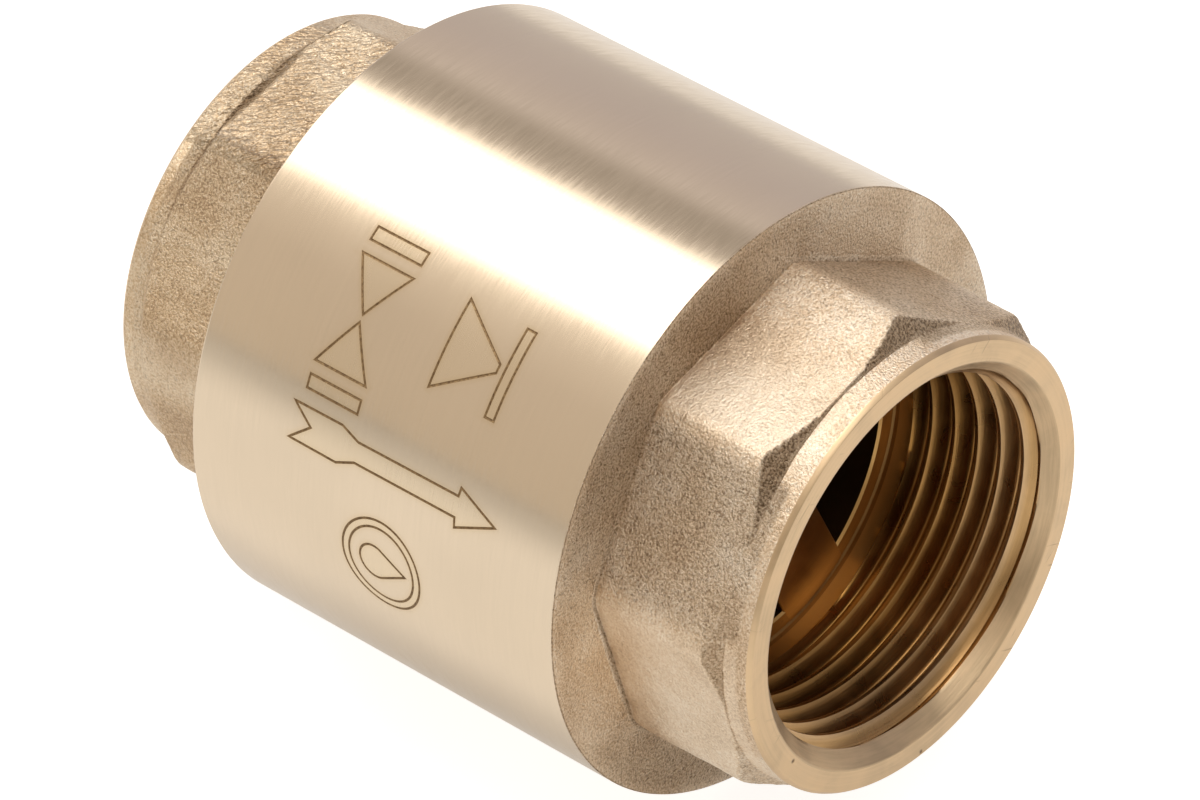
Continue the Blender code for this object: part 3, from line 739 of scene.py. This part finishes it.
def offset(loop, distance):
    """A closed polyline moved sideways, with its mitres limited."""
    before, after = loop - np.roll(loop, 1, 0), np.roll(loop, -1, 0) - loop
    before /= np.maximum(np.hypot(before[:, 0], before[:, 1]), 1e-9)[:, None]
    after /= np.maximum(np.hypot(after[:, 0], after[:, 1]), 1e-9)[:, None]
    normal_before = np.stack([-before[:, 1], before[:, 0]], -1)
    normal = normal_before + np.stack([-after[:, 1], after[:, 0]], -1)
    normal /= np.maximum(np.hypot(normal[:, 0], normal[:, 1]), 1e-6)[:, None]
    mitre = 1.0 / np.maximum((normal * normal_before).sum(1), 0.45)
    return loop + normal * (distance * mitre)[:, None]


def circle(u, x, radius, count):
    angles = np.linspace(0.0, tau, count, endpoint=False)
    return np.stack([u + radius * np.cos(angles), x + radius * np.sin(angles)], -1)


def marks():
    """The laser-marked outlines as closed (u, x) loops."""
    mid_u = 57.42
    flow_arrow = [
        (mid_u, 9.63), (mid_u + 1.30, 6.60), (mid_u + 0.66, 6.52), (mid_u + 0.70, -1.68),
        (mid_u + 1.30, -3.10), (mid_u + 1.27, -6.98), (mid_u, -5.41), (mid_u - 1.17, -6.98),
        (mid_u - 1.20, -3.08), (mid_u - 0.68, -1.64), (mid_u - 0.74, 6.52), (mid_u - 1.32, 6.60)]
    loops = [np.array(flow_arrow)[::-1]]
    # a bow tie between two bars
    low, high, middle = -6.35, -2.2, -4.28
    for u in (44.45, 54.25):
        loops.append(np.array([(u, low), (u + 0.9, low), (u + 0.9, high), (u, high)]))
    loops.append(np.array([(46.25, low), (49.55, middle), (46.25, high)]))
    loops.append(np.array([(53.35, high), (50.05, middle), (53.35, low)]))
    # check valve symbol: a triangle that points with the flow, and its seat bar
    u, x = 48.6, 4.4
    loops.append(np.array([(u - 2.9, x - 2.3), (u + 2.9, x - 2.3),
                           (u + 0.28, x + 1.75), (u - 0.28, x + 1.75)]))
    loops.append(np.array([(u - 2.9, x + 2.25), (u + 2.9, x + 2.25),
                           (u + 2.9, x + 2.95), (u - 2.9, x + 2.95)]))
    # water drop in a ring
    u, x, drop_r = 64.2, 0.9, 1.18
    loops.append(circle(u, x, 3.15, 72))
    loops.append(circle(u, x, 2.62, 60)[::-1])
    drop = [(u + drop_r * cos(angle), x - 0.55 + drop_r * sin(angle))
            for angle in np.linspace(radians(-205), radians(25), 30)]
    drop.append((u, x + 1.95))
    loops.append(np.array(drop))
    return [resample(loop) for loop in loops]


def distance_to(segments, points):
    """Distance from each point to the nearest segment, in batches."""
    start, along = segments[:, 0], segments[:, 1] - segments[:, 0]
    length_2 = np.maximum((along ** 2).sum(1), 1e-12)
    result = np.empty(len(points))
    for i in range(0, len(points), 2000):
        away = points[i:i + 2000, None, :] - start[None]
        share = np.clip((away * along[None]).sum(-1) / length_2, 0, 1)
        away = away - share[..., None] * along[None]
        result[i:i + 2000] = np.sqrt((away ** 2).sum(-1)).min(1)
    return result


def inside_loops(loops, points):
    """Even-odd rule: which points lie inside the outlines."""
    inside = np.zeros(len(points), bool)
    for start in loops:
        end = np.roll(start, -1, 0)
        low, high = start.min(0), start.max(0)
        near = np.where(((points > low) & (points < high)).all(1))[0]
        some = points[near]
        cross = (start[None, :, 1] > some[:, None, 1]) != (end[None, :, 1] > some[:, None, 1])
        with np.errstate(divide='ignore', invalid='ignore'):
            cross_u = (end[None, :, 0] - start[None, :, 0]) * (some[:, None, 1] - start[None, :, 1]) / \
                      (end[None, :, 1] - start[None, :, 1]) + start[None, :, 0]
        inside[near] ^= (cross & (some[:, None, 0] < cross_u)).sum(1) % 2 == 1
    return inside


def cylinder_skin():
    """The turned skin on the unrolled cylinder, triangulated, with the marks let in.

    bottom, top, left and right list the vertices of its four borders.
    """
    row_count = 36
    u_step = tau / COLUMNS * BODY_R
    u_seam = SEAM * BODY_R
    points, edges = [], []

    def put(point):
        points.append(point)
        return len(points) - 1

    def join(ring):
        edges.extend(zip(ring, ring[1:] + ring[:1]))

    bottom = [put((u_seam + j * u_step, SKIN_FROM)) for j in range(COLUMNS + 1)]
    top = [put((u_seam + j * u_step, SKIN_TO)) for j in range(COLUMNS + 1)]
    stations = [lerp(SKIN_FROM, SKIN_TO, i / row_count) for i in range(1, row_count)]
    left = [put((u_seam, x)) for x in stations]
    right = [put((u_seam + COLUMNS * u_step, x)) for x in stations]
    join(bottom + right + top[::-1] + left[::-1])

    # an even grid away from the marks, constrained lines on them, more points beside
    loops = marks()
    segments = np.concatenate([np.stack([loop, np.roll(loop, -1, 0)], 1) for loop in loops])
    grid = np.array([(u_seam + j * u_step, x) for x in stations for j in range(1, COLUMNS)])
    for point in grid[distance_to(segments, grid) > 0.16]:
        put(tuple(point))
    for loop in loops:
        for aside in (LINE_HALF, 0.0, -LINE_HALF):
            join([put(tuple(point)) for point in (offset(loop, aside) if aside else loop)])
        for aside in (0.21, -0.21, 0.38, -0.38):
            line = offset(loop, aside)
            for point in line[distance_to(segments, line) > abs(aside) * 0.86]:
                put(tuple(point))

    result = geometry.delaunay_2d_cdt([Vector(point) for point in points], edges, [], 0, 1e-5)
    flat = np.array([tuple(vertex) for vertex in result[0]])
    triangles = np.array([tuple(face) for face in result[2] if len(face) == 3])
    new_index = {old: new for new, olds in enumerate(result[3]) for old in olds}
    side_1 = flat[triangles[:, 1]] - flat[triangles[:, 0]]
    side_2 = flat[triangles[:, 2]] - flat[triangles[:, 0]]
    area = side_1[:, 0] * side_2[:, 1] - side_1[:, 1] * side_2[:, 0]
    triangles, area = triangles[np.abs(area) > 1e-9], area[np.abs(area) > 1e-9]
    triangles[area < 0] = triangles[area < 0][:, ::-1]
    distance = distance_to(segments, flat)
    on_line = distance_to(segments, flat[triangles].mean(1)) < LINE_HALF * 0.98
    borders = {name: [new_index[i] for i in border] for name, border in
               (("bottom", bottom), ("top", top), ("left", left), ("right", right))}
    return SimpleNamespace(
        flat=flat, triangles=triangles, slots=np.where(on_line, LINE, TURNED),
        depth=LINE_DEPTH * np.clip(1 - distance / LINE_HALF, 0, 1),
        halo=np.exp(-(distance / HALO_WIDTH) ** 2),
        fill=inside_loops(loops, flat).astype(float), **borders)


# ------------------------------------------------------------- casing halves
# From the relief through the spider's ledge and the chamber to the skin's inlet edge:
# x, radius, steps on the way there, slot
CASING_INSIDE = (
    (PLATE_OUT + 0.1, RELIEF_R - 0.04, 1, PLATE), (PLATE_OUT, RELIEF_R - 0.2, 1, PLATE),
    (PLATE_OUT, WINDOW_R + 0.15, 3, PLATE), (PLATE_OUT - 0.15, WINDOW_R, 1, INNER),
    (PLATE_IN + 0.2, WINDOW_R, 3, CHAMBER), (PLATE_IN, WINDOW_R + 0.2, 1, CHAMBER),
    (PLATE_IN, 12.75, 1, CHAMBER), (PLATE_IN, 12.9, 1, CHAMBER), (7.8, 15.5, 4, CHAMBER),
    (-2.8, 15.5, 6, CHAMBER), (-3.4, 16.65, 2, CHAMBER), (-10.7, 16.65, 5, INNER),
    (-11.6, 17.65, 2, INNER), (-14.5, 17.65, 3, INNER), (-HALF, 18.0, 1, FACE),
    (-HALF, BODY_R - 0.16, 4, FACE), (-HALF + 0.05, BODY_R - 0.05, 1, TURNED),
    (SKIN_FROM, BODY_R, 1, TURNED),
)


def gather(items, name, size, kind=np.int32):
    values = np.empty(size, kind)
    items.foreach_get(name, values)
    return values


def set_skin_normals(mesh, vertices, skin_count):
    """Exact normals on the turned skin, the last polygons, so reflections run clean."""
    loop_count, polygon_count = len(mesh.loops), len(mesh.polygons)
    normals = gather(mesh.corner_normals, "vector", loop_count * 3, np.float32).reshape(-1, 3)
    loop_vertex = gather(mesh.loops, "vertex_index", loop_count)
    loops_each = gather(mesh.polygons, "loop_total", polygon_count)
    on_skin = gather(mesh.polygons, "material_index", polygon_count) == TURNED
    on_skin[:polygon_count - skin_count] = False
    on_skin = np.repeat(on_skin, loops_each)
    radial = vertices[loop_vertex[on_skin]].copy()
    radial[:, 0] = 0
    radial /= np.hypot(radial[:, 1], radial[:, 2])[:, None]
    normals[on_skin] = radial
    mesh.normals_split_custom_set(normals.tolist())


def build_casing():
    """Outlet half: hub, bore and chamber as rows, closed by the turned skin."""
    rows = Rows()
    edge = HALF - SKIN_TO
    # the cast edge beside the skin, darkened with painted shade so it shows no bright rim
    rows.add(SKIN_TO, BODY_R, CAST, cast_cut=0.45)
    rows.add(HALF - edge * 0.3, BODY_R - edge * 0.3, CAST, cast_cut=0.45)
    hub_rows(rows, +1, OUTLET_CORNER, BODY_R - edge, CREST_AT, seed=3.1,
             slots=(CAST, FACE, BORE, INNER))
    rows.path(CASING_INSIDE)
    vertices = wrap(np.array(rows.x), np.array(rows.radius), ANGLES).reshape(-1, 3)
    faces, starts = rows.faces()
    slots = [rows.slot[i + 1] for i in starts]

    # join the skin to the first and last rows and along its own seam
    skin = cylinder_skin()
    base, last = len(vertices), len(rows.x) - 1
    joined = np.arange(len(skin.flat)) + base
    for j in range(COLUMNS + 1):
        joined[skin.bottom[j]] = last * COLUMNS + (j % COLUMNS)
        joined[skin.top[j]] = j % COLUMNS
    for left, right in zip(skin.left, skin.right):
        joined[right] = joined[left]
    around = wrap(skin.flat[:, 1], BODY_R - skin.depth, skin.flat[:, 0] / BODY_R)
    vertices = np.concatenate([vertices, around])
    triangles = joined[skin.triangles]
    first, second, third = triangles.T
    good = (first != second) & (second != third) & (first != third)
    triangles = triangles[good]
    faces += [tuple(int(i) for i in triangle) for triangle in triangles]
    slots += [int(slot) for slot in skin.slots[good]]

    fields = {"mark_halo": np.concatenate([np.zeros(base), skin.halo]),
              "mark_fill": np.concatenate([np.zeros(base), skin.fill])}
    for name, values in rows.field_values().items():
        fields[name] = np.concatenate([values, np.zeros(len(skin.flat))])
    vertices, faces, fields = compact(vertices * MM, faces, fields)
    materials = [CAST_BRASS, CASING_TURNED, MARK_LINE, END_FACE, TAPPED, MACHINED, INNER_FACE,
                 CHAMBER_WALL]
    obj = mesh_object("casing_outlet_half", vertices, faces, materials, 32.0, slots, fields)
    set_skin_normals(obj.data, vertices, len(triangles))
    return obj


# Inlet half, (distance from the middle, radius): its inner end up to the joint thread
INLET_NOSE = (
    (6.6, 10.1), (6.6, 10.7), (6.75, 10.9), (7.0, 11.15), (7.0, 13.6), (7.2, 14.2), (7.8, 14.6),
    (6.5, 14.6), (5.0, 14.6), (3.9, 14.6), (3.75, 14.75), (3.75, 15.65), (3.9, 15.9), (4.35, 16.35))
# ... and the O-ring groove and the collar after the thread
INLET_COLLAR = (
    (11.5, 16.3), (11.55, 16.2), (11.55, 15.85), (11.75, 15.65), (13.2, 15.65), (13.4, 15.85),
    (13.4, 17.15), (13.55, 17.32), (14.7, 17.35))
JOINT_FROM, JOINT_TO, JOINT_R = 4.35, 11.3, 16.35
JOINT_PITCH, JOINT_DEPTH, JOINT_ROWS = 1.5, 0.62, 60


def build_inlet():
    """Inlet half, a closed loop of rows that is mirrored to -X."""
    rows = Rows()
    hub_rows(rows, -1, INLET_CORNER, 17.35, -CREST_AT + 0.7, seed=9.4,
             slots=(IN_CAST, IN_FACE, IN_BORE, IN_INNER))
    rows.path([(12.2, 10.0, 4, IN_INNER), (6.6, 10.0, 5, IN_INNER)])
    for x, radius in INLET_NOSE:
        rows.add(x, radius, IN_INNER)
    for i in range(JOINT_ROWS):
        x = lerp(JOINT_FROM, JOINT_TO, (i + 1) / JOINT_ROWS)
        turn = np.mod((-x - JOINT_PITCH * ANGLES / tau) / JOINT_PITCH, 1.0)
        groove = np.clip(np.abs(turn - 0.5) * 3.2 - 0.3, 0, 1)
        fade = min(1.0, (x - JOINT_FROM) / 0.6, (JOINT_TO + 0.1 - x) / 0.4)
        rows.add(x, JOINT_R - JOINT_DEPTH * groove * fade, IN_INNER)
    for x, radius in INLET_COLLAR:
        rows.add(x, radius, IN_INNER)
    vertices = wrap(-np.array(rows.x), np.array(rows.radius), ANGLES).reshape(-1, 3) * MM
    faces, starts = rows.faces(closed=True, flip=True)
    vertices, faces, fields = compact(vertices, faces, rows.field_values())
    return mesh_object("casing_inlet_half", vertices, faces,
                       [INLET_CAST, END_FACE, TAPPED, MACHINED], 32.0,
                       [rows.slot[i] for i in starts], fields)


# ------------------------------------------------------------------ the spider
def spider_outline():
    """Three legs from the casing's ledge to the boss, in the (y, z) plane."""
    reach, half_width, fillet = RELIEF_R - 0.06, LEG_WIDTH / 2, 0.9
    aside = half_width + fillet                   # fillet centre, beside and along a leg
    along = math.sqrt((BOSS_R + fillet) ** 2 - aside ** 2)
    outline = []
    for k in range(3):
        leg = radians(FIRST_LEG + 120 * k)

        def at(length, side):
            return (length * cos(leg) - side * sin(leg), length * sin(leg) + side * cos(leg))

        def fillet_arc(side):
            """From the boss to the leg's side."""
            start = atan2(side * aside, along) + pi
            turn = (-side * pi / 2 - start + pi) % tau - pi
            return [at(along + fillet * cos(start + turn * i / 6),
                       side * aside + fillet * sin(start + turn * i / 6)) for i in range(7)]

        outline += fillet_arc(-1)
        outline += [at(length, -half_width) for length in np.linspace(along + 1.0, reach, 6)]
        outline += [at(length, half_width) for length in np.linspace(reach, along + 1.0, 6)]
        outline += fillet_arc(1)[::-1]
        boss_from = leg + atan2(aside, along)
        boss_to = leg + tau / 3 - atan2(aside, along)
        outline += [(BOSS_R * cos(angle), BOSS_R * sin(angle))
                    for angle in np.linspace(boss_from, boss_to, 10)[1:-1]]
    return outline


def build_spider():
    """The legs as one bevelled plate, and the boss."""
    bevel = 0.16
    curve = bpy.data.curves.new("spider", 'CURVE')
    curve.dimensions = '2D'
    curve.fill_mode = 'BOTH'
    hole = [(BOSS_HOLE_R * cos(angle), BOSS_HOLE_R * sin(angle))
            for angle in np.linspace(0, tau, 48, endpoint=False)]
    for outline in (spider_outline(), hole):
        spline = curve.splines.new('POLY')
        spline.points.add(len(outline) - 1)
        for point, place in zip(spline.points, outline):
            point.co = (place[0], place[1], 0, 1)
        spline.use_cyclic_u = True
    curve.extrude = (PLATE_OUT - PLATE_IN) / 2 - bevel
    curve.bevel_depth = bevel
    curve.bevel_resolution = 3
    curve.offset = -bevel
    flat = bpy.data.objects.new("spider", curve)
    bpy.context.scene.collection.objects.link(flat)
    bpy.context.view_layer.update()
    evaluated = flat.evaluated_get(bpy.context.evaluated_depsgraph_get())
    mesh = bpy.data.meshes.new_from_object(evaluated)
    bpy.data.objects.remove(flat)
    bm = bmesh.new()
    bm.from_mesh(mesh)
    bpy.data.meshes.remove(mesh)
    bmesh.ops.remove_doubles(bm, verts=bm.verts, dist=0.002)
    middle = (PLATE_OUT + PLATE_IN) / 2 + 0.02
    for vertex in bm.verts:           # the curve's plane becomes YZ, its height X
        y, z, height = vertex.co
        vertex.co = Vector(((middle + height) * MM, y * MM, z * MM))
    bmesh.ops.recalc_face_normals(bm, faces=bm.faces)
    mesh = bpy.data.meshes.new("spider_legs")
    bm.to_mesh(mesh)
    bm.free()
    mesh.materials.append(INNER_FACE)
    mesh.shade_smooth()
    mesh.set_sharp_from_angle(angle=radians(32))
    legs = bpy.data.objects.new("spider_legs", mesh)
    bpy.context.scene.collection.objects.link(legs)
    boss = lathe("spider_boss", [
        (BOSS_IN, BOSS_R, 0.35), (PLATE_IN + 0.5, BOSS_R, 0),
        (PLATE_IN + 0.5, BOSS_HOLE_R, 0), (BOSS_IN, BOSS_HOLE_R, 0.2)], MACHINED, 96)
    return legs, boss


# ------------------------------------------------------------------ the spring
SPRING_FROM, SPRING_TO, WIRE_R, TURNS, COIL_R = -0.85, 10.35, 0.4, 5.5, 6.0
CLOSED_TURNS = 0.85                   # at each end


def spring_path():
    """Centre line of the wire, in metres, with closed turns at both ends."""
    per_turn = 56
    low, high = SPRING_FROM + WIRE_R, SPRING_TO - WIRE_R
    rise = 2 * WIRE_R * 1.12 * CLOSED_TURNS
    path = []
    for i in range(int(TURNS * per_turn) + 1):
        turn = i / per_turn
        if turn < CLOSED_TURNS:
            x = low + rise * turn / CLOSED_TURNS
        elif turn > TURNS - CLOSED_TURNS:
            x = high - rise * (TURNS - turn) / CLOSED_TURNS
        else:
            x = low + rise + (high - low - 2 * rise) * (turn - CLOSED_TURNS) / \
                (TURNS - 2 * CLOSED_TURNS)
        angle = tau * turn
        path.append(Vector((x * MM, COIL_R * MM * sin(angle), -COIL_R * MM * cos(angle))))
    return path


def wire(name, path, radius, material, sides=20):
    """A round wire along a path, with rounded ends."""
    last = len(path) - 1
    # place on the path, share of the radius, push along the path
    stations = [(0, 0.35, -0.9), (0, 0.8, -0.45)] + [(i, 1.0, 0.0) for i in range(len(path))] + \
               [(last, 0.8, 0.45), (last, 0.35, 0.9)]
    axis = Vector((1, 0, 0))
    vertices, faces = [], []
    for i, share, push in stations:
        tangent = (path[min(i + 1, last)] - path[max(i - 1, 0)]).normalized()
        across = (axis - tangent * axis.dot(tangent)).normalized()
        other = tangent.cross(across)
        centre = path[i] + tangent * (push * radius * 0.35)
        for k in range(sides):
            angle = tau * k / sides
            vertices.append(tuple(
                centre + (across * cos(angle) + other * sin(angle)) * radius * share))
    for i in range(len(stations) - 1):
        near, far = i * sides, (i + 1) * sides
        for k in range(sides):
            j = (k + 1) % sides
            faces.append((near + k, near + j, far + j, far + k))
    faces.append(tuple(range(sides))[::-1])
    faces.append(tuple((len(stations) - 1) * sides + k for k in range(sides)))
    return mesh_object(name, vertices, faces, [material], sharp=50.0)


# ------------------------------------------------------------------ the pieces
def hand_over(piece, rides, replaces):
    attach(piece, rides)
    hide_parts(replaces)


hand_over(build_casing(), "valve_body", "outlet_body")
for spider_piece in build_spider():
    hand_over(spider_piece, "valve_body", "outlet_body")
hand_over(build_inlet(), "valve_body", "inlet_end_piece")

O_RING_X, O_RING_R, O_RING_WIRE_R = -12.48, 16.6, 0.75
o_ring = lathe("joint_o_ring", [
    (O_RING_X + O_RING_WIRE_R * cos(angle), O_RING_R + O_RING_WIRE_R * sin(angle), 0)
    for angle in np.linspace(pi, -pi, 24, endpoint=False)], O_RING_RUBBER, 160)
hand_over(o_ring, "valve_body", "body_joint_o_ring")

bush = lathe("stem_guide_bush", [
    (7.6, 4.4, 0.12), (8.1, 4.4, 0.1), (8.1, 3.0, 0), (13.35, 3.0, 0.15),
    (13.35, 2.08, 0.12), (7.6, 2.08, 0.25)], ACETAL, 96)
hand_over(bush, "valve_body", "guide_bush")

spring = wire("closing_spring_wire", spring_path(), WIRE_R * MM, SPRING_STEEL)
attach(spring, "valve_body")
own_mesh(spring)
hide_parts("closing_spring")

washer = lathe("spring_seat_washer", [
    (-1.55, 7.3, 0.12), (-0.95, 7.3, 0.12), (-0.95, 3.15, 0.08), (-1.55, 3.15, 0.08)],
    WASHER_STEEL, 128)
hand_over(washer, "spring_follower", "spring_washer")

STEM_THREAD_R, STEM_PITCH = 1.75, 0.6


def stem_shape(x, radius, angles):
    """M3.5 thread on the stem's inlet end, plain elsewhere."""
    if -10.4 < x < -7.0 and radius > 1.6:
        turn = np.mod((x - STEM_PITCH * angles / tau) / STEM_PITCH, 1.0)
        return radius - 0.22 * np.clip(np.abs(turn - 0.5) * 2.6 - 0.2, 0, 1)
    return np.full(len(angles), radius)


stem = lathe("poppet_guide_stem", [
    (-10.9, 0.02, 0), (-10.9, 1.3, 0.1), (-10.45, STEM_THREAD_R, 0),
    *((x, STEM_THREAD_R, 0) for x in np.arange(-10.4, -6.99, 0.075)),
    (-1.55, STEM_THREAD_R, 0.0), (-1.55, 3.0, 0.08), (2.0, 3.0, 0.3), (2.0, 2.0, 0.25),
    (14.2, 2.0, 0.75), (14.2, 0.02, 0)], STEM_BRASS, 96, shape=stem_shape)
hand_over(stem, "poppet", "poppet_stem")

disc = lathe("poppet_disc_turned", [
    (-4.45, 11.8, 0.15), (-3.15, 11.8, 0.3), (-2.75, 11.3, 0.4), (-1.65, 7.6, 0.4),
    (-1.65, 1.95, 0.1), (-4.45, 1.95, 0.1)], DISC_BRASS, 192)
hand_over(disc, "poppet", "poppet_disc")

seal = lathe("seat_seal_ring", [
    (-6.5, 11.3, 0.25), (-4.55, 11.3, 0.2), (-4.55, 2.35, 0.1), (-6.5, 2.35, 0.1)],
    SEAL_RUBBER, 192)
hand_over(seal, "poppet", "seat_seal")

retainer = lathe("seal_retainer_turned", [
    (-7.75, 7.5, 0.2), (-7.2, 8.4, 0.2), (-6.6, 8.4, 0.1), (-6.6, 1.95, 0.05),
    (-7.75, 1.95, 0.12)], DISC_BRASS, 160)
hand_over(retainer, "poppet", "seal_retainer_plate")

NUT_FROM, NUT_TO, NUT_APOTHEM = -10.2, -7.85, 3.5


def nut_shape(x, radius, angles):
    """Hexagonal nut with turned-off corners; the hole stays round."""
    if radius < 2.6:
        return np.full(len(angles), radius)
    hexagon = polygon_radius(angles, 0.0, NUT_APOTHEM, rounding=0.15, sides=6)
    from_end = min(x - NUT_FROM, NUT_TO - x)
    return np.minimum(hexagon, NUT_APOTHEM + 0.05 + 1.9 * from_end)


nut = lathe("stem_lock_nut", [
    (NUT_FROM, NUT_APOTHEM, 0), *((x, 4.0, 0) for x in np.linspace(-10.17, -7.88, 26)),
    (NUT_TO, NUT_APOTHEM, 0), (NUT_TO, 1.9, 0.1), (NUT_FROM, 1.9, 0.25)],
    NUT_STEEL, 144, shape=nut_shape)
hand_over(nut, "poppet", "stem_nut")


# ------------------------------------------------------------ floor and light
def floor_material():
    """Pale, softly lit from below like a light table, so shadows stay faint."""
    glow_strength, seen_strength = 0.44, 0.86        # towards the valve, to the camera
    mat = Graph("pale_floor")
    colour = mat.ramp(mat.noise(scale=40), [(0.3, (0.42, 0.42, 0.415)), (0.7, (0.44, 0.44, 0.435))])
    camera_ray = mat.node("ShaderNodeLightPath").outputs["Is Camera Ray"]
    away = mat.node("ShaderNodeVectorMath", {0: mat.position}, operation='LENGTH').outputs["Value"]
    y = mat.xyz[1]
    # dimmer far out on the -Y side, and in a narrow band along the valve
    far = mat.times(mat.remap(away, (0.10, 0.24), to=(0.0, 0.32)), mat.remap(y, (0.0, -0.06)))
    from_band = mat.math('ABSOLUTE', mat.plus(y, 0.0165))
    band = mat.remap(from_band, (0.0018, 0.0062), to=(0.17, 0.0))
    glow = mat.times(mat.minus(glow_strength, far), mat.minus(1.0, band))
    strength = mat.plus(mat.times(glow, mat.minus(1.0, camera_ray)),
                        mat.times(camera_ray, seen_strength))
    mat.feed(mat.shader.inputs["Emission Color"], (1, 0.985, 0.965))
    mat.feed(mat.shader.inputs["Emission Strength"], strength)
    return mat.shade(colour, 0.8, metal=0.0)


def build_floor():
    mesh = bpy.data.meshes.new("floor")
    bm = bmesh.new()
    bmesh.ops.create_circle(bm, cap_ends=True, radius=6.0, segments=96)
    bm.to_mesh(mesh)
    bm.free()
    mesh.materials.append(floor_material())
    floor = bpy.data.objects.new("floor", mesh)
    floor.location = (0, 0, -BODY_R * MM - 0.0002)
    bpy.context.scene.collection.objects.link(floor)
    return floor


build_floor()

# World radiance by angle round the flow axis: degrees, colour
SKY = (
    (-180, (0.64, 0.57, 0.49)), (-90, (0.62, 0.58, 0.54)), (-20, (0.60, 0.58, 0.58)),
    (0, (0.60, 0.575, 0.585)), (28, (0.58, 0.55, 0.59)), (43, (0.62, 0.58, 0.60)),
    (51, (0.73, 0.69, 0.70)), (57, (0.42, 0.39, 0.37)), (66, (0.44, 0.41, 0.39)),
    (78, (0.74, 0.70, 0.67)), (112, (1.05, 0.98, 0.90)), (126, (0.78, 0.71, 0.64)),
    (140, (0.67, 0.60, 0.53)), (180, (0.64, 0.57, 0.49)),
)


def build_world():
    """A banded studio for reflections; the camera itself sees white."""
    world = bpy.data.worlds.new("studio")
    bpy.context.scene.world = world
    world.use_nodes = True
    nodes, link = world.node_tree.nodes, world.node_tree.links.new
    background = nodes["Background"]
    split = nodes.new("ShaderNodeSeparateXYZ")
    link(nodes.new("ShaderNodeTexCoord").outputs["Generated"], split.inputs[0])
    angle = nodes.new("ShaderNodeMath")
    angle.operation = 'ARCTAN2'
    link(split.outputs["Z"], angle.inputs[0])
    link(split.outputs["Y"], angle.inputs[1])
    span = nodes.new("ShaderNodeMapRange")
    span.inputs["From Min"].default_value = -pi
    span.inputs["From Max"].default_value = pi
    link(angle.outputs[0], span.inputs["Value"])
    ramp = nodes.new("ShaderNodeValToRGB")
    fill_ramp(ramp.color_ramp, [((degrees + 180) / 360, colour) for degrees, colour in SKY])
    link(span.outputs[0], ramp.inputs[0])
    dimming = nodes.new("ShaderNodeMapRange")        # a little dimmer towards +X
    for name, value in (("From Min", -0.1), ("From Max", 0.9), ("To Min", 1.0), ("To Max", 0.60)):
        dimming.inputs[name].default_value = value
    link(split.outputs["X"], dimming.inputs["Value"])
    dimmed = nodes.new("ShaderNodeVectorMath")
    dimmed.operation = 'SCALE'
    link(ramp.outputs["Color"], dimmed.inputs[0])
    link(dimming.outputs[0], dimmed.inputs["Scale"])
    mix = nodes.new("ShaderNodeMix")
    mix.data_type = 'RGBA'
    link(nodes.new("ShaderNodeLightPath").outputs["Is Camera Ray"], mix.inputs["Factor"])
    link(dimmed.outputs[0], mix.inputs[6])
    mix.inputs[7].default_value = (1.0, 1.0, 1.0, 1)
    link(mix.outputs[2], background.inputs["Color"])
    background.inputs["Strength"].default_value = 1.0


build_world()


def place(obj, right, up, back, location):
    """Turn an object's axes to right, up and back, and link it to the scene."""
    matrix = Matrix((right, up, back)).transposed().to_4x4()
    matrix.translation = location
    obj.matrix_world = matrix
    bpy.context.scene.collection.objects.link(obj)


def softbox(name, lean, length, radiance):
    """A strip light above the valve, its length in line with the flow axis.

    lean tips it towards +X, in degrees; round_axis sets where its reflection lies
    on the turned cylinder.
    """
    distance, width, round_axis = 0.9, 0.63, radians(94.0)
    lean = radians(lean)
    direction = Vector((sin(lean), cos(lean) * cos(round_axis),
                        cos(lean) * sin(round_axis))).normalized()
    light = bpy.data.lights.new(name, 'AREA')
    light.shape = 'RECTANGLE'
    light.size, light.size_y = length, width
    light.energy = radiance * pi * length * width
    # soft long edges, so that its reflection fades in and out
    light.use_nodes = True
    nodes, link = light.node_tree.nodes, light.node_tree.links.new
    split = nodes.new("ShaderNodeSeparateXYZ")
    link(nodes.new("ShaderNodeNewGeometry").outputs["Parametric"], split.inputs[0])
    fade = nodes.new("ShaderNodeMath")
    fade.operation = 'PINGPONG'
    fade.inputs[1].default_value = 0.5
    link(split.outputs["Y"], fade.inputs[0])
    edge = nodes.new("ShaderNodeMapRange")
    edge.interpolation_type = 'SMOOTHSTEP'
    edge.inputs["From Max"].default_value = 0.21
    link(fade.outputs[0], edge.inputs["Value"])
    link(edge.outputs["Result"], nodes["Emission"].inputs["Strength"])
    axis = Vector((1, 0, 0))
    along = (axis - direction * axis.dot(direction)).normalized()
    place(bpy.data.objects.new(name, light), along, direction.cross(along), direction,
          direction * distance)


softbox("softbox_top", lean=-24.0, length=1.40, radiance=2.35)
softbox("softbox_front", lean=36.0, length=0.50, radiance=1.5)

bpy.context.scene.view_settings.view_transform = 'Standard'
bpy.context.scene.view_settings.look = 'None'


# --------------------------------------------------------------------- camera
def build_camera():
    """Looks from +X, -Y and above, down at the outlet end."""
    yaw, elevation = radians(42.2909), radians(35.8258)
    location = Vector((277.265 + HALF, -320.600, 312.829)) * MM
    right = Vector((cos(yaw), sin(yaw), 0))
    back = Vector((sin(yaw) * cos(elevation), -cos(yaw) * cos(elevation), sin(elevation)))
    data = bpy.data.cameras.new("camera")
    data.sensor_width = 36.0
    data.lens = 262.02
    data.clip_start = 0.02
    data.clip_end = 30.0
    camera = bpy.data.objects.new("camera", data)
    place(camera, right, back.cross(right), back, location)
    bpy.context.scene.camera = camera


build_camera()
